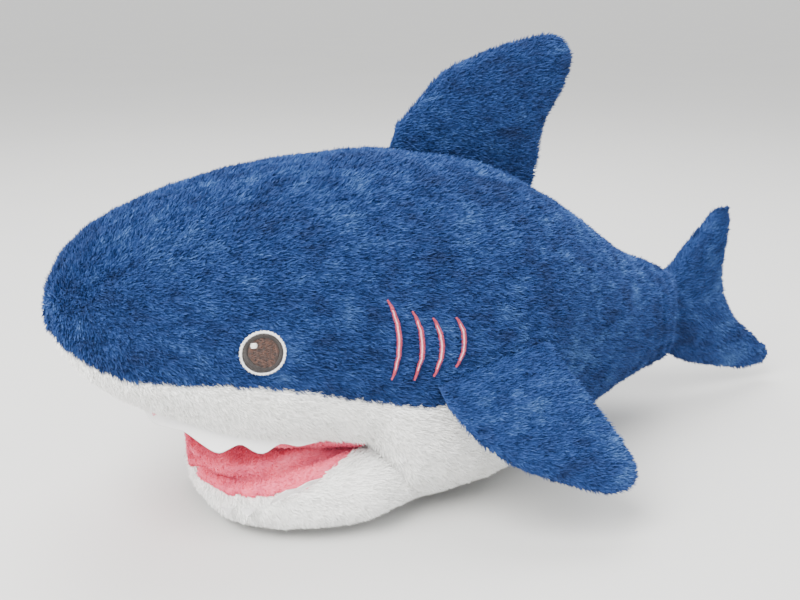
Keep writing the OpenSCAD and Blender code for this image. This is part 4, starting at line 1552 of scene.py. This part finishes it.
@dataclass
class Teeth:
    """Folded satin teeth sewn into the lips.

    Args:
        lip: Places along the left upper lip, front to rear.
        jaw: Search tree of the jaw's skin.
    """

    lip: list[Vector]
    jaw: BVHTree
    foot_lift: float = 3.4 * MM
    tip_lift: float = 4.8 * MM

    FLAP_STEPS = 6

    # Distance along the lip from its middle, and how far the satin hangs there
    UPPER = [
        (walked * MM, reach * MM)
        for walked, reach in (
            (0.0, 5.0), (15.0, 8.0), (35.0, 6.0), (52.0, 14.5), (66.0, 4.5), (75.0, 11.8), (88.0, 2.0),
            (97.0, 4.5), (112.0, 1.0),
        )
    ]
    # The lower lip: half width, reach ahead of the hinge, squareness, height and rise
    lip_side: float = 69.0 * MM
    lip_front: float = 82.0 * MM
    lip_power: float = 3.0
    lip_low: float = 19.5 * MM
    lip_rise: float = 0.38
    # Flaps of the left lower lip: start and end ahead of the hinge, the tip's rise, its squareness
    LOWER = [
        (78.0 * MM, 74.0 * MM, -6.0 * MM, 1.0),
        (71.0 * MM, 64.0 * MM, -5.5 * MM, 1.0),
        (58.0 * MM, 30.0 * MM, 4.4 * MM, 4.0),
    ]

    def dressed(self, obj: bpy.types.Object, node: str, ride: Callable[[bpy.types.Object], object]) -> None:
        """Softens a row of teeth and puts it on its body."""
        soft = obj.modifiers.new("Soft", "SUBSURF")
        soft.levels = 1
        soft.render_levels = 1
        applied(obj)
        obj.data.shade_smooth()
        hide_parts(node)
        ride(obj)
        LOG.info("%s: %d faces", obj.name, len(obj.data.polygons))

    def upper(self) -> bpy.types.Object:
        """Hangs the upper teeth from the lip, over the lining of the jaw.

        Returns:
            The row on both sides.
        """
        bm = bmesh.new()
        run, reach, walked = [], [], 0.0
        for a, b in zip([self.lip[0], *self.lip], self.lip):
            walked += (b - a).length
            if walked < self.UPPER[-1][0]:
                k = max(n for n, cut in enumerate(self.UPPER[:-1]) if cut[0] <= walked)
                near, far = self.UPPER[k], self.UPPER[k + 1]
                run.append(b)
                reach.append(near[1] + (far[1] - near[1]) * (walked - near[0]) / (far[0] - near[0]))
        top = [bm.verts.new(p + Vector((0, 0, 2.5 * MM))) for p in run]
        edges = [bm.edges.new(pair) for pair in zip(top, top[1:])]
        for share in (0.5, 1.0):
            new = bmesh.ops.extrude_edge_only(bm, edges=edges)["geom"]
            verts = sorted((g for g in new if isinstance(g, bmesh.types.BMVert)), key=lambda v: v.co.y)
            edges = [g for g in new if isinstance(g, bmesh.types.BMEdge)]
            for vert, start, down in zip(verts, run, reach):
                vert.co = start + Vector((down * 0.30 * share, 0.0, 2.5 * MM - down * share))
                spot, normal, *_ = self.jaw.find_nearest(vert.co)
                if (vert.co - spot).dot(normal) < 1.6 * MM:
                    vert.co = spot + normal * 1.6 * MM
        bmesh.ops.solidify(bm, geom=bm.faces[:], thickness=1.1 * MM)
        bmesh.ops.mirror(bm, geom=bm.verts[:] + bm.edges[:] + bm.faces[:], axis="X", merge_dist=1e-5)
        bmesh.ops.recalc_face_normals(bm, faces=bm.faces[:])
        return piece(bm, "upper_teeth_satin", [SATIN.material()])

    def on_lip(self, hinge: Vector, ahead: float, lift: float) -> tuple[Vector, Vector]:
        """Returns a place over the left lower lip and the skin's normal there.

        Args:
            hinge: Where the jaw turns.
            ahead: Distance ahead of the hinge.
            lift: Distance off the skin.
        """
        side = self.lip_side * (1.0 - (ahead / self.lip_front) ** self.lip_power) ** (1.0 / self.lip_power)
        height = self.lip_low + self.lip_rise * (self.lip_front - ahead)
        spot, normal, *_ = self.jaw.find_nearest(Vector((side, hinge.y - ahead, height)))
        return spot + normal * lift, normal

    def lower(self) -> bpy.types.Object:
        """Folds the lower teeth over the lip at the front, and stands them up at its sides.

        Returns:
            The row on both sides.
        """
        hinge = joint_place("jaw_hinge")
        bm = bmesh.new()
        for start, end, tip, square in self.LOWER:
            low, high = [], []
            for k in range(self.FLAP_STEPS + 1):
                share = k / self.FLAP_STEPS
                foot, normal = self.on_lip(hinge, start + (end - start) * share, self.foot_lift)
                reach = tip * (1.0 - abs(2.0 * share - 1.0) ** square)
                top = foot + Vector((0, 0, reach)) + normal * abs(reach) * 0.3
                spot, normal, *_ = self.jaw.find_nearest(top)
                if (top - spot).dot(normal) < self.tip_lift:
                    top = spot + normal * self.tip_lift
                low.append(bm.verts.new(foot))
                high.append(bm.verts.new(top))
            for quad in zip(low, low[1:], high[1:], high):
                bm.faces.new(quad)
        bmesh.ops.solidify(bm, geom=bm.faces[:], thickness=1.0 * MM)
        both_sides = bm.verts[:] + bm.edges[:] + bm.faces[:]
        bmesh.ops.mirror(bm, geom=both_sides, axis="X", merge_dist=1e-6)
        bmesh.ops.recalc_face_normals(bm, faces=bm.faces[:])
        return piece(bm, "lower_teeth_satin", [SATIN.material()])

    def build(self) -> None:
        """Builds both rows."""
        self.dressed(self.upper(), "upper_teeth", lambda o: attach(o, "trunk"))
        self.dressed(self.lower(), "lower_teeth", lambda o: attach(o, "jaw"))


def main() -> None:
    """Builds the whole shark in order."""
    logging.basicConfig(level=logging.INFO, format="%(relativeCreated)7d ms %(name)s: %(message)s")
    cad_box = [list(corner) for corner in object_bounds()]
    target = Vector((0.0, cad_box[0][1] + 0.209, 0.112))
    Studio(target, target + Vector((0.5235, -0.2784, 0.1813))).build()
    sizes = PileSizes()
    hull = Hull(sizes)
    spots: list[tuple[Vector, float]] = []
    stitched: list[Vector] = []
    for side in Side:
        Eye(side, hull.tree).build()
        stitched += Gills(side, hull.tree).build()
        low, high = box_of(f"eye_white_{side.word}")
        spots.append(((low + high) / 2, (high.z - low.z) / 2))
    barber = Barber(spots, stitched)
    hull.build(barber)
    jaw_tree = Jaw(sizes).build(barber)
    Fin(sizes, "dorsal", "dorsal_fin", "dorsal_lean", [*both("dorsal_panel"), "dorsal_stuffing"],
        Vector((0, 0.3, 1)), 1.4, 21.0).build(barber)
    for side in Side:
        word = side.word
        Fin(
            sizes, f"pectoral_{word}", f"pectoral_fin_{word}", f"pectoral_{word}_flap",
            [f"pectoral_top_{word}", f"pectoral_under_{word}", f"pectoral_stuffing_{word}"],
            Vector((side.value * 0.66, 0.17, -0.73)), 2.0, 30.0 + side.value,
        ).build(barber)
    Teeth(hull.lip, jaw_tree).build()


if __name__ == "__main__":
    main()
